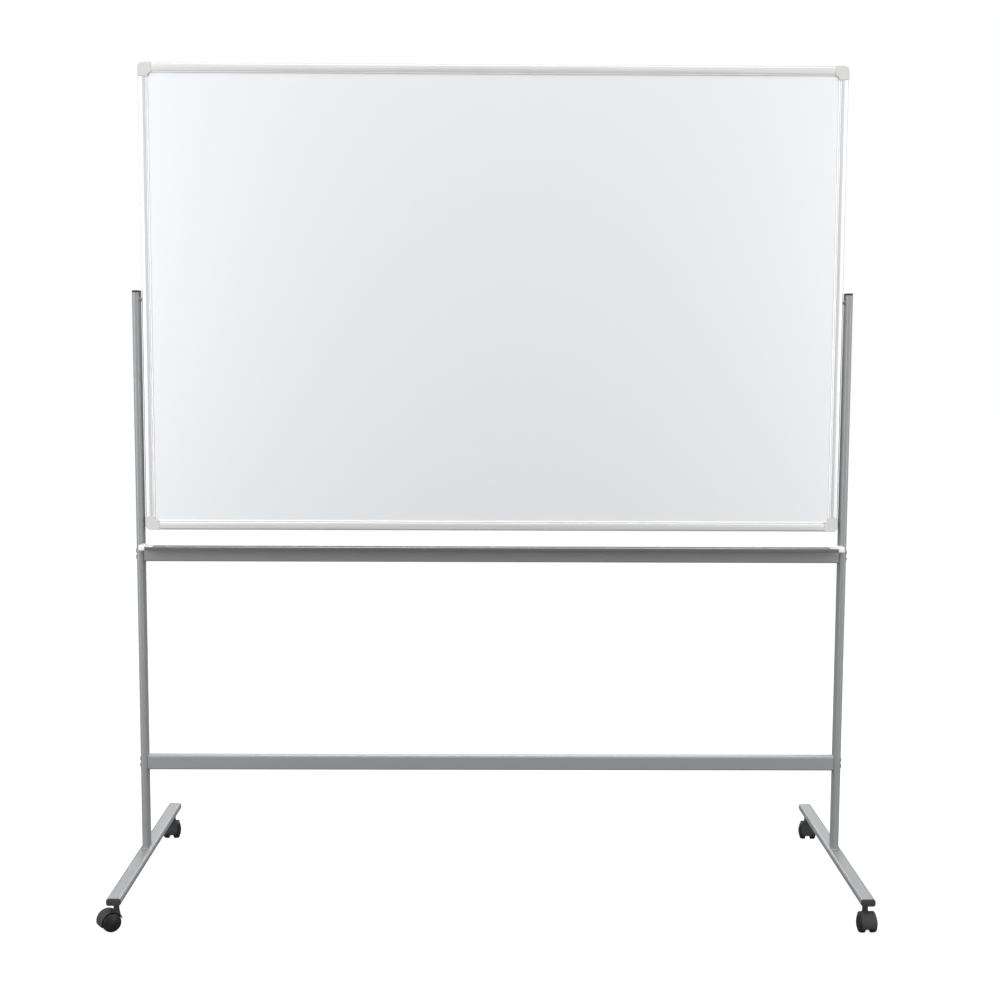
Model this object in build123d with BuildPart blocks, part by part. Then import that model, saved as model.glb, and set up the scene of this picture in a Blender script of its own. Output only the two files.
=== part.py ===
from build123d import *
import os
from math import cos, radians, sin

# Reversible rolling board on two T-shaped legs.
# Millimetres. Origin on the floor, midway between the legs; +X right, -Y towards the viewer, +Z up.

# ---- Board, lying in the XZ plane and balanced on its two side pins ----
BOARD_WIDTH = 1524.0
BOARD_HEIGHT = 1006.0
PIVOT_HEIGHT = 1296.5
FRAME_DEPTH = 18.0        # front to back
FRAME_FACE = 21.0         # width of a frame rail seen from the front
FRAME_EDGE_FLAT = 10.0    # flat part of the outer edge
FRAME_CROWN = 1.6         # how far the rail face bulges
FRAME_WALL = 1.4
GROOVE_DEPTH = 7.0
CORNER_LEG = 29.5         # length of a corner cap along each side
CORNER_PROUD = 0.6        # cap stands this far outside the rail faces
CORNER_RADIUS = 8.0
CORNER_WEB_RADIUS = 6.0
SPIGOT_LENGTH = 22.0
SPIGOT_CLEARANCE = 0.15
PANEL_DEPTH = 10.0
SHEET_THICKNESS = 0.8

# ---- Posts ----
POST_GAP = 5.0            # between the board edge and the inner face of a post
POST_WIDTH = 15.0
POST_DEPTH = 36.0
POST_CORNER = 6.5
TUBE_WALL = 1.5
PIN_DIAMETER = 9.0
PIN_RUNNING_FIT = 0.08
POST_TOP_ABOVE_PIVOT = 15.0
POST_CAP_THICKNESS = 4.5
POST_SLOT_WIDTH = 13.0
BUSHING_BELOW_PIVOT = 14.0
SNUG = 0.1                # gap round a plastic plug pushed into a tube
PIN_REACH = 10.5          # how far a pin runs past the inner face of the post
PIN_PLATE = (3.0, 12.0, 60.0)

# ---- Feet ----
RAIL_WIDTH = 30.0
RAIL_HEIGHT = 15.0
RAIL_CORNER = 5.0
RAIL_BOTTOM = 58.5
RAIL_HALF_LENGTH = 338.0
PLUG_FLANGE = 4.0
PLUG_INSERT = 18.0
PLUG_WALL = 2.0
WELD_SIZE = 3.0

# ---- Crossbars ----
BAR_HEIGHT = 32.0
BAR_DEPTH = 25.0
BAR_CORNER = 4.0
LOWER_BAR_BOTTOM = 254.0
UPPER_BAR_BOTTOM = 723.5
INSERT_LENGTH = 20.0
BOLT_DIAMETER = 8.0
BOLT_HEAD_DIAMETER = 15.0
BOLT_HEAD_THICKNESS = 3.6
BOLT_SOCKET = (5.0, 2.0)  # across flats, depth
BOLT_SPACING = 14.0

# ---- Pen tray, resting on the upper crossbar ----
TRAY_HALF_LENGTH = 756.0
TRAY_THICKNESS = 1.6
TRAY_BACK = 8.0
TRAY_FRONT = -57.0
TRAY_LIP_TOP = 761.5
TRAY_LIP_BOTTOM = 754.1
TRAY_LIP_THICKNESS = 2.4
TRAY_LIP_ROOT = 5.0       # where the floor starts to rise into the lip
TRAY_STOP = (-11.0, 1.6)  # ridge that stops pens rolling back: Y, height
CAP_OUTER = 769.0
CAP_BACK = -19.5
CAP_HEIGHT = (753.7, 764.9)
CAP_TONGUE = 11.0
SCREW_POSITIONS = (-748.5, -380.0, 0.0, 380.0, 748.5)
SCREW_SHAFT = 3.5
SCREW_HEAD = (7.4, 1.2)
SCREW_LENGTH = 6.0

# ---- Casters ----
CASTER_INSET = 26.0       # swivel axis to the end of the tube
TRAIL = 15.0              # axle behind the swivel axis
WHEEL_RADIUS = 20.0
WHEEL_GAP = 12.6          # between the two wheels of a pair
TREAD_EDGE = 12.1         # outer end of the flat tread, from the middle of the caster
SHOULDER = (17.6, 16.6)   # where the rounded shoulder meets the domed face: from the middle, radius
DOME_TIP = 21.6           # middle of the domed face, from the middle of the caster
RIM_THICKNESS = 3.5
HUB_RADIUS = 6.0
WHEEL_RECESS = 7.5        # hollow on the inner side
AXLE_DIAMETER = 6.0
AXLE_HALF_LENGTH = 16.6
AXLE_END_GAP = 0.4
WHEEL_RUNNING_FIT = 0.1
HOOD_GAP = 1.3            # over the tread
HOOD_THICKNESS = 2.4
HOOD_HALF_WIDTH = 15.5
HOOD_FROM, HOOD_TO = -75.0, 121.0   # degrees from straight up, positive to the trailing side
WEB_WIDTH = 11.4
WEB_TOE = 8.0             # radius of the web's lower end round the axle
BOSS_RADIUS = 6.0
BOSS_TOP = 52.0
BOSS_ROOT = 34.0
BOSS_ROOT_RADIUS = 8.4
STEM_DIAMETER = 10.0
STEM_RUNNING_FIT = 0.08
STEM_BOTTOM = 38.0
STEM_TOP = 69.5
COLLAR = (12.0, 55.9)     # diameter, top; it rests on the boss
SOCKET_DIAMETER = 14.0
SOCKET_FLANGE = (16.0, 2.5)
SOCKET_TOP = 70.8
# Rest angle of each swivel about Z, in degrees; 0 trails straight towards the viewer.
CASTER_REST = {"front_left": -57.0, "front_right": 3.0, "rear_left": -1.0, "rear_right": -4.0}

# ---- Derived ----
POST_INNER = BOARD_WIDTH / 2 + POST_GAP
POST_X = POST_INNER + POST_WIDTH / 2
RAIL_TOP = RAIL_BOTTOM + RAIL_HEIGHT
RAIL_MID = RAIL_BOTTOM + RAIL_HEIGHT / 2
POST_TOP = PIVOT_HEIGHT + POST_TOP_ABOVE_PIVOT
UPPER_BAR_TOP = UPPER_BAR_BOTTOM + BAR_HEIGHT
PANEL_INSET = FRAME_FACE - GROOVE_DEPTH
BOARD_BOTTOM = PIVOT_HEIGHT - BOARD_HEIGHT / 2
BOARD_TOP = PIVOT_HEIGHT + BOARD_HEIGHT / 2
SIDES = {"left": -1, "right": 1}
ENDS = {"front": -1, "rear": 1}

os.makedirs("parts", exist_ok=True)


def save(part, name):
    """Labels a part and writes its STEP file."""
    part.label = name
    export_step(part, f"parts/{name}.step")


# ============================ Posts, feet and welds ============================
for side, sign in SIDES.items():
    # Post: round-cornered tube, slotted from the top of its inner face down to the pin.
    with BuildPart() as post:
        with BuildSketch(Plane.XY.offset(RAIL_TOP)):
            with Locations((sign * POST_X, 0)):
                RectangleRounded(POST_WIDTH, POST_DEPTH, POST_CORNER)
                RectangleRounded(POST_WIDTH - 2 * TUBE_WALL, POST_DEPTH - 2 * TUBE_WALL,
                                 POST_CORNER - TUBE_WALL, mode=Mode.SUBTRACT)
        extrude(amount=POST_TOP - RAIL_TOP)
        with BuildSketch(Plane.YZ.offset(sign * POST_X)):
            with Locations((0, PIVOT_HEIGHT)):
                Circle(POST_SLOT_WIDTH / 2)
            with Locations((0, PIVOT_HEIGHT + POST_TOP_ABOVE_PIVOT / 2)):
                Rectangle(POST_SLOT_WIDTH, POST_TOP_ABOVE_PIVOT)
        extrude(amount=-sign * POST_WIDTH, mode=Mode.SUBTRACT)
        # Bolt holes for the two crossbars, right through the tube.
        for bar_bottom in (LOWER_BAR_BOTTOM, UPPER_BAR_BOTTOM):
            with BuildSketch(Plane.YZ.offset(sign * POST_X)):
                with Locations((0, bar_bottom + BAR_HEIGHT / 2 - BOLT_SPACING / 2),
                               (0, bar_bottom + BAR_HEIGHT / 2 + BOLT_SPACING / 2)):
                    Circle(BOLT_DIAMETER / 2)
            extrude(amount=POST_WIDTH, both=True, mode=Mode.SUBTRACT)
    save(post.part, f"{side}_post")

    # Foot rail: round-cornered tube lying flat, with a socket hole under each end.
    with BuildPart() as rail:
        with BuildSketch(Plane.XZ.offset(-RAIL_HALF_LENGTH)):
            with Locations((sign * POST_X, RAIL_MID)):
                RectangleRounded(RAIL_WIDTH, RAIL_HEIGHT, RAIL_CORNER)
                RectangleRounded(RAIL_WIDTH - 2 * TUBE_WALL, RAIL_HEIGHT - 2 * TUBE_WALL,
                                 RAIL_CORNER - TUBE_WALL, mode=Mode.SUBTRACT)
        extrude(amount=2 * RAIL_HALF_LENGTH)
        with BuildSketch(Plane.XY.offset(RAIL_BOTTOM)):
            with Locations(*[(sign * POST_X, end * (RAIL_HALF_LENGTH - CASTER_INSET))
                             for end in ENDS.values()]):
                Circle(SOCKET_DIAMETER / 2)
        extrude(amount=RAIL_HEIGHT / 2, mode=Mode.SUBTRACT)
    save(rail.part, f"{side}_foot_rail")

    # Weld bead round the foot of the post, following the curved sides of the rail.
    with BuildPart() as weld:
        with BuildSketch(Plane.XY.offset(RAIL_TOP - WELD_SIZE)):
            with Locations((sign * POST_X, 0)):
                RectangleRounded(POST_WIDTH + 2 * WELD_SIZE, POST_DEPTH + 2 * WELD_SIZE,
                                 POST_CORNER + WELD_SIZE)
        extrude(amount=WELD_SIZE)
        with BuildSketch(Plane.XY.offset(RAIL_TOP)):
            with Locations((sign * POST_X, 0)):
                RectangleRounded(POST_WIDTH + 2 * WELD_SIZE, POST_DEPTH + 2 * WELD_SIZE,
                                 POST_CORNER + WELD_SIZE)
        extrude(amount=WELD_SIZE, taper=40)
        with BuildSketch(Plane.XY.offset(RAIL_BOTTOM)):
            with Locations((sign * POST_X, 0)):
                RectangleRounded(POST_WIDTH, POST_DEPTH, POST_CORNER)
        extrude(amount=2 * RAIL_HEIGHT, mode=Mode.SUBTRACT)
        with BuildSketch(Plane.XZ.offset(-POST_DEPTH)):
            with Locations((sign * POST_X, RAIL_MID)):
                RectangleRounded(RAIL_WIDTH, RAIL_HEIGHT, RAIL_CORNER)
        extrude(amount=2 * POST_DEPTH, mode=Mode.SUBTRACT)
    save(weld.part, f"{side}_post_weld")

    # Pivot bushing: cap on the post, block inside it and a tongue filling the slot.
    with BuildPart() as bushing:
        with BuildSketch(Plane.XY.offset(POST_TOP)):
            with Locations((sign * POST_X, 0)):
                RectangleRounded(POST_WIDTH, POST_DEPTH, POST_CORNER)
        extrude(amount=POST_CAP_THICKNESS)
        fillet(bushing.edges().group_by(Axis.Z)[-1], 1.5)
        inner = (POST_WIDTH - 2 * TUBE_WALL - 2 * SNUG, POST_DEPTH - 2 * TUBE_WALL - 2 * SNUG)
        with BuildSketch(Plane.XY.offset(PIVOT_HEIGHT - BUSHING_BELOW_PIVOT)):
            with Locations((sign * POST_X, 0)):
                RectangleRounded(*inner, POST_CORNER - TUBE_WALL - SNUG)
        extrude(amount=BUSHING_BELOW_PIVOT + POST_TOP_ABOVE_PIVOT)
        with BuildSketch(Plane.YZ.offset(sign * POST_INNER)):
            with Locations((0, PIVOT_HEIGHT)):
                Circle(POST_SLOT_WIDTH / 2 - SNUG)
            with Locations((0, PIVOT_HEIGHT + POST_TOP_ABOVE_PIVOT / 2)):
                Rectangle(POST_SLOT_WIDTH - 2 * SNUG, POST_TOP_ABOVE_PIVOT)
        extrude(amount=sign * 2 * TUBE_WALL)
        with BuildSketch(Plane.YZ.offset(sign * POST_INNER)):
            with Locations((0, PIVOT_HEIGHT)):
                Circle(PIN_DIAMETER / 2 + PIN_RUNNING_FIT)
        extrude(amount=sign * (PIN_REACH + 0.6), mode=Mode.SUBTRACT)
    save(bushing.part, f"{side}_pivot_bushing")

    # Crossbar bolts: button heads outside the post, shanks into the bar inserts.
    with BuildPart() as bolts:
        for bar_bottom in (LOWER_BAR_BOTTOM, UPPER_BAR_BOTTOM):
            spots = [(0, bar_bottom + BAR_HEIGHT / 2 + offset * BOLT_SPACING / 2) for offset in (-1, 1)]
            with BuildSketch(Plane.YZ.offset(sign * (POST_INNER + POST_WIDTH))):
                with Locations(*spots):
                    Circle(BOLT_HEAD_DIAMETER / 2 - 1.2)
            extrude(amount=sign * BOLT_HEAD_THICKNESS)
            with BuildSketch(Plane.YZ.offset(sign * (POST_INNER - INSERT_LENGTH + 2))):
                with Locations(*spots):
                    Circle(BOLT_DIAMETER / 2)
            extrude(amount=sign * (POST_WIDTH + INSERT_LENGTH - 2))
            with BuildSketch(Plane.YZ.offset(sign * (POST_INNER + POST_WIDTH + BOLT_HEAD_THICKNESS))):
                with Locations(*spots):
                    RegularPolygon(BOLT_SOCKET[0] / 2, 6, major_radius=False)
            extrude(amount=-sign * BOLT_SOCKET[1], mode=Mode.SUBTRACT)
        fillet(bolts.edges().filter_by(GeomType.CIRCLE).group_by(Axis.X)[-1 if sign > 0 else 0], 1.6)
    save(bolts.part, f"{side}_crossbar_bolts")

    # Tray end cap: block in front of the post, with a tongue lying in the tray.
    with BuildPart() as tray_cap:
        cap_low, cap_high = CAP_HEIGHT
        cap_mid_y = (TRAY_FRONT - 1.5 + CAP_BACK) / 2
        cap_depth = CAP_BACK - TRAY_FRONT + 1.5
        with BuildSketch(Plane.XY.offset(cap_low)):
            with Locations((sign * (TRAY_HALF_LENGTH + CAP_OUTER) / 2, cap_mid_y)):
                Rectangle(CAP_OUTER - TRAY_HALF_LENGTH, cap_depth)
        extrude(amount=cap_high - cap_low)
        fillet(tray_cap.edges().filter_by(Axis.Z), 2.0)
        fillet(tray_cap.faces().sort_by(Axis.Z)[-1].edges(), 1.5)
        floor = UPPER_BAR_TOP + TRAY_THICKNESS
        with BuildSketch(Plane.XY.offset(floor)):
            with Locations((sign * (TRAY_HALF_LENGTH - CAP_TONGUE / 2 + 1.5),
                            (TRAY_FRONT + TRAY_LIP_ROOT + 0.4 + CAP_BACK - 2) / 2)):
                Rectangle(CAP_TONGUE + 3, CAP_BACK - 2 - TRAY_FRONT - TRAY_LIP_ROOT - 0.4)
        extrude(amount=TRAY_LIP_TOP - floor - 0.4)
    save(tray_cap.part, f"{side}_tray_end_cap")

# ============================ Crossbars and their inserts ============================
for name, bottom in (("lower", LOWER_BAR_BOTTOM), ("upper", UPPER_BAR_BOTTOM)):
    with BuildPart() as bar:
        with BuildSketch(Plane.YZ.offset(-POST_INNER)):
            with Locations((0, bottom + BAR_HEIGHT / 2)):
                RectangleRounded(BAR_DEPTH, BAR_HEIGHT, BAR_CORNER)
                RectangleRounded(BAR_DEPTH - 2 * TUBE_WALL, BAR_HEIGHT - 2 * TUBE_WALL,
                                 BAR_CORNER - TUBE_WALL, mode=Mode.SUBTRACT)
        extrude(amount=2 * POST_INNER)
        if name == "upper":
            # Pilot holes for the tray screws.
            with BuildSketch(Plane.XY.offset(UPPER_BAR_TOP - BAR_HEIGHT / 2)):
                with Locations(*[(x, 0) for x in SCREW_POSITIONS]):
                    Circle(SCREW_SHAFT / 2)
            extrude(amount=BAR_HEIGHT, mode=Mode.SUBTRACT)
    save(bar.part, f"{name}_crossbar")

    with BuildPart() as inserts:
        for sign in SIDES.values():
            with BuildSketch(Plane.YZ.offset(sign * POST_INNER)):
                with Locations((0, bottom + BAR_HEIGHT / 2)):
                    RectangleRounded(BAR_DEPTH - 2 * TUBE_WALL, BAR_HEIGHT - 2 * TUBE_WALL,
                                     BAR_CORNER - TUBE_WALL)
                with Locations((0, bottom + BAR_HEIGHT / 2 - BOLT_SPACING / 2),
                               (0, bottom + BAR_HEIGHT / 2 + BOLT_SPACING / 2)):
                    Circle(BOLT_DIAMETER / 2, mode=Mode.SUBTRACT)
            extrude(amount=-sign * INSERT_LENGTH)
        if name == "upper":
            with BuildSketch(Plane.XY.offset(UPPER_BAR_TOP)):
                with Locations(*[(x, 0) for x in SCREW_POSITIONS if abs(x) > TRAY_HALF_LENGTH - 20]):
                    Circle(SCREW_SHAFT / 2)
            extrude(amount=-SCREW_LENGTH, mode=Mode.SUBTRACT)
    save(inserts.part, f"{name}_crossbar_inserts")

# ============================ Pen tray ============================
with BuildPart() as tray:
    deck = UPPER_BAR_TOP
    top = deck + TRAY_THICKNESS
    with BuildSketch(Plane.YZ.offset(-TRAY_HALF_LENGTH)):
        with BuildLine():
            Polyline((TRAY_BACK, deck), (TRAY_BACK, top), (TRAY_STOP[0] + 1.2, top),
                     (TRAY_STOP[0] + 0.5, top + TRAY_STOP[1]), (TRAY_STOP[0] - 0.5, top + TRAY_STOP[1]),
                     (TRAY_STOP[0] - 1.2, top), (TRAY_FRONT + TRAY_LIP_ROOT, top),
                     (TRAY_FRONT + TRAY_LIP_THICKNESS, top + 2.4),
                     (TRAY_FRONT + TRAY_LIP_THICKNESS - 0.6, TRAY_LIP_TOP),
                     (TRAY_FRONT + 0.8, TRAY_LIP_TOP), (TRAY_FRONT, TRAY_LIP_TOP - 1.2),
                     (TRAY_FRONT, TRAY_LIP_BOTTOM), (TRAY_FRONT + 1.4, TRAY_LIP_BOTTOM),
                     (TRAY_FRONT + 2.6, deck), close=True)
        make_face()
    extrude(amount=2 * TRAY_HALF_LENGTH)
    with BuildSketch(Plane.XY.offset(deck)):
        with Locations(*[(x, 0) for x in SCREW_POSITIONS]):
            Circle(SCREW_SHAFT / 2)
    extrude(amount=TRAY_THICKNESS, mode=Mode.SUBTRACT)
save(tray.part, "pen_tray")

with BuildPart() as tray_screws:
    with BuildSketch(Plane.XY.offset(UPPER_BAR_TOP + TRAY_THICKNESS)):
        with Locations(*[(x, 0) for x in SCREW_POSITIONS]):
            Circle(SCREW_HEAD[0] / 2)
    extrude(amount=SCREW_HEAD[1])
    fillet(tray_screws.edges().group_by(Axis.Z)[-1], 0.7)
    with BuildSketch(Plane.XY.offset(UPPER_BAR_TOP + TRAY_THICKNESS)):
        with Locations(*[(x, 0) for x in SCREW_POSITIONS]):
            Circle(SCREW_SHAFT / 2)
    extrude(amount=-SCREW_LENGTH)
save(tray_screws.part, "tray_screws")

# ============================ Board ============================
with BuildPart() as core:
    with BuildSketch(Plane.XZ.offset(-(PANEL_DEPTH / 2 - SHEET_THICKNESS))):
        with Locations((0, PIVOT_HEIGHT)):
            Rectangle(BOARD_WIDTH - 2 * PANEL_INSET, BOARD_HEIGHT - 2 * PANEL_INSET)
    extrude(amount=PANEL_DEPTH - 2 * SHEET_THICKNESS)
save(core.part, "board_core")

for name, face_y in (("front", -(PANEL_DEPTH / 2 - SHEET_THICKNESS)), ("rear", PANEL_DEPTH / 2)):
    with BuildPart() as sheet:
        with BuildSketch(Plane.XZ.offset(-face_y)):
            with Locations((0, PIVOT_HEIGHT)):
                Rectangle(BOARD_WIDTH - 2 * PANEL_INSET, BOARD_HEIGHT - 2 * PANEL_INSET)
        extrude(amount=SHEET_THICKNESS)
    save(sheet.part, f"{name}_writing_sheet")

# Frame rails: one hollow extrusion cut to four lengths.
#   plane origin at the outer edge of the rail's low end, local X inwards, normal along the rail
rail_places = {
    "bottom": (Plane((-BOARD_WIDTH / 2 + CORNER_LEG, 0, BOARD_BOTTOM), x_dir=(0, 0, 1), z_dir=(1, 0, 0)),
               BOARD_WIDTH - 2 * CORNER_LEG),
    "top": (Plane((-BOARD_WIDTH / 2 + CORNER_LEG, 0, BOARD_TOP), x_dir=(0, 0, -1), z_dir=(1, 0, 0)),
            BOARD_WIDTH - 2 * CORNER_LEG),
    "left": (Plane((-BOARD_WIDTH / 2, 0, BOARD_BOTTOM + CORNER_LEG), x_dir=(1, 0, 0), z_dir=(0, 0, 1)),
             BOARD_HEIGHT - 2 * CORNER_LEG),
    "right": (Plane((BOARD_WIDTH / 2, 0, BOARD_BOTTOM + CORNER_LEG), x_dir=(-1, 0, 0), z_dir=(0, 0, 1)),
              BOARD_HEIGHT - 2 * CORNER_LEG),
}
chamber = (FRAME_WALL, PANEL_INSET - FRAME_WALL)      # hollow of the rail, measured inwards
chamber_depth = FRAME_EDGE_FLAT - 0.6
edge, lip = FRAME_EDGE_FLAT / 2, FRAME_DEPTH / 2 - FRAME_CROWN
for name, (place, length) in rail_places.items():
    with BuildPart() as frame_rail:
        with BuildSketch(place):
            # Flat outer edge at local X 0, crowned front and back faces, flat inner lips.
            with BuildLine():
                Line((0, -edge), (0, edge))
                Spline((0, edge), (FRAME_FACE * 0.5, FRAME_DEPTH / 2), (FRAME_FACE, lip),
                       tangents=[(0.3, 1), (1, -0.3)])
                Line((FRAME_FACE, lip), (FRAME_FACE, -lip))
                Spline((FRAME_FACE, -lip), (FRAME_FACE * 0.5, -FRAME_DEPTH / 2), (0, -edge),
                       tangents=[(-1, -0.3), (-0.3, 1)])
            make_face()
            with Locations(((chamber[0] + chamber[1]) / 2, 0)):
                Rectangle(chamber[1] - chamber[0], chamber_depth, mode=Mode.SUBTRACT)
            with Locations(((PANEL_INSET + FRAME_FACE) / 2, 0)):
                Rectangle(GROOVE_DEPTH, PANEL_DEPTH, mode=Mode.SUBTRACT)
        extrude(amount=length)
        if name in SIDES:
            # Clearance for the pivot pin through the outer wall.
            with BuildSketch(Plane.YZ.offset(SIDES[name] * (BOARD_WIDTH / 2 + 1))):
                with Locations((0, PIVOT_HEIGHT)):
                    Circle(PIN_DIAMETER / 2)
            extrude(amount=-SIDES[name] * (FRAME_WALL + 1.5), mode=Mode.SUBTRACT)
    save(frame_rail.part, f"{name}_frame_rail")

# Corner caps: plastic elbows, slightly proud of the rails, with spigots pushed into them.
for z_name, z_sign in (("top", 1), ("bottom", -1)):
    for x_name, x_sign in SIDES.items():
        corner = Plane((x_sign * BOARD_WIDTH / 2, 0, PIVOT_HEIGHT + z_sign * BOARD_HEIGHT / 2),
                       x_dir=(-x_sign, 0, 0), z_dir=(0, x_sign * z_sign, 0))
        up = 1 if corner.y_dir.Z * z_sign < 0 else -1     # local Y that runs inwards
        half = FRAME_DEPTH / 2 + CORNER_PROUD
        with BuildPart() as cap:
            with BuildSketch(corner.offset(-half)) as elbow:
                with BuildLine():
                    Polyline((-CORNER_PROUD, -CORNER_PROUD * up), (CORNER_LEG, -CORNER_PROUD * up),
                             (CORNER_LEG, (FRAME_FACE + CORNER_PROUD) * up),
                             (FRAME_FACE + CORNER_PROUD, (FRAME_FACE + CORNER_PROUD) * up),
                             (FRAME_FACE + CORNER_PROUD, CORNER_LEG * up),
                             (-CORNER_PROUD, CORNER_LEG * up), close=True)
                make_face()
                fillet(elbow.vertices().sort_by_distance(corner.location.position)[0], CORNER_RADIUS)
                inner_vertex = [v for v in elbow.vertices()
                                if abs(abs(v.X) - (FRAME_FACE + CORNER_PROUD)) < 1e-6
                                and abs(abs(v.Y) - (FRAME_FACE + CORNER_PROUD)) < 1e-6]
                fillet(inner_vertex, CORNER_WEB_RADIUS)
            extrude(amount=2 * half)
            chamfer(cap.faces().filter_by(Axis.Y).edges(), 1.4)
            # Room for the corner of the panel.
            with BuildSketch(corner.offset(-PANEL_DEPTH / 2)):
                with Locations(((PANEL_INSET + 2 * CORNER_LEG) / 2, up * (PANEL_INSET + 2 * CORNER_LEG) / 2)):
                    Rectangle(2 * CORNER_LEG - PANEL_INSET, 2 * CORNER_LEG - PANEL_INSET)
            extrude(amount=PANEL_DEPTH, mode=Mode.SUBTRACT)
            # Spigots into both rails.
            spigot = (chamber[1] - chamber[0] - 2 * SPIGOT_CLEARANCE, chamber_depth - 2 * SPIGOT_CLEARANCE)
            middle = (chamber[0] + chamber[1]) / 2
            with BuildSketch(corner.offset(-spigot[1] / 2)):
                with Locations((CORNER_LEG + SPIGOT_LENGTH / 2 - 1, up * middle)):
                    Rectangle(SPIGOT_LENGTH + 2, spigot[0])
                with Locations((middle, up * (CORNER_LEG + SPIGOT_LENGTH / 2 - 1))):
                    Rectangle(spigot[0], SPIGOT_LENGTH + 2)
            extrude(amount=spigot[1])
        save(cap.part, f"{z_name}_{x_name}_corner_cap")

# Pivot pins: plate inside the hollow of the side rail, pin through its outer wall.
for side, sign in SIDES.items():
    with BuildPart() as pin:
        plate_x = BOARD_WIDTH / 2 - FRAME_WALL
        with BuildSketch(Plane.YZ.offset(sign * plate_x)):
            with Locations((0, PIVOT_HEIGHT)):
                RectangleRounded(chamber_depth - 0.6, PIN_PLATE[2], 2.0)
        extrude(amount=-sign * PIN_PLATE[0])
        with BuildSketch(Plane.YZ.offset(sign * plate_x)):
            with Locations((0, PIVOT_HEIGHT)):
                Circle(PIN_DIAMETER / 2)
        extrude(amount=sign * (POST_INNER + PIN_REACH - plate_x))
        tip = pin.faces().sort_by(Axis.X)[-1 if sign > 0 else 0]
        chamfer(tip.edges(), 0.8)
    save(pin.part, f"{side}_pivot_pin")

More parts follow.
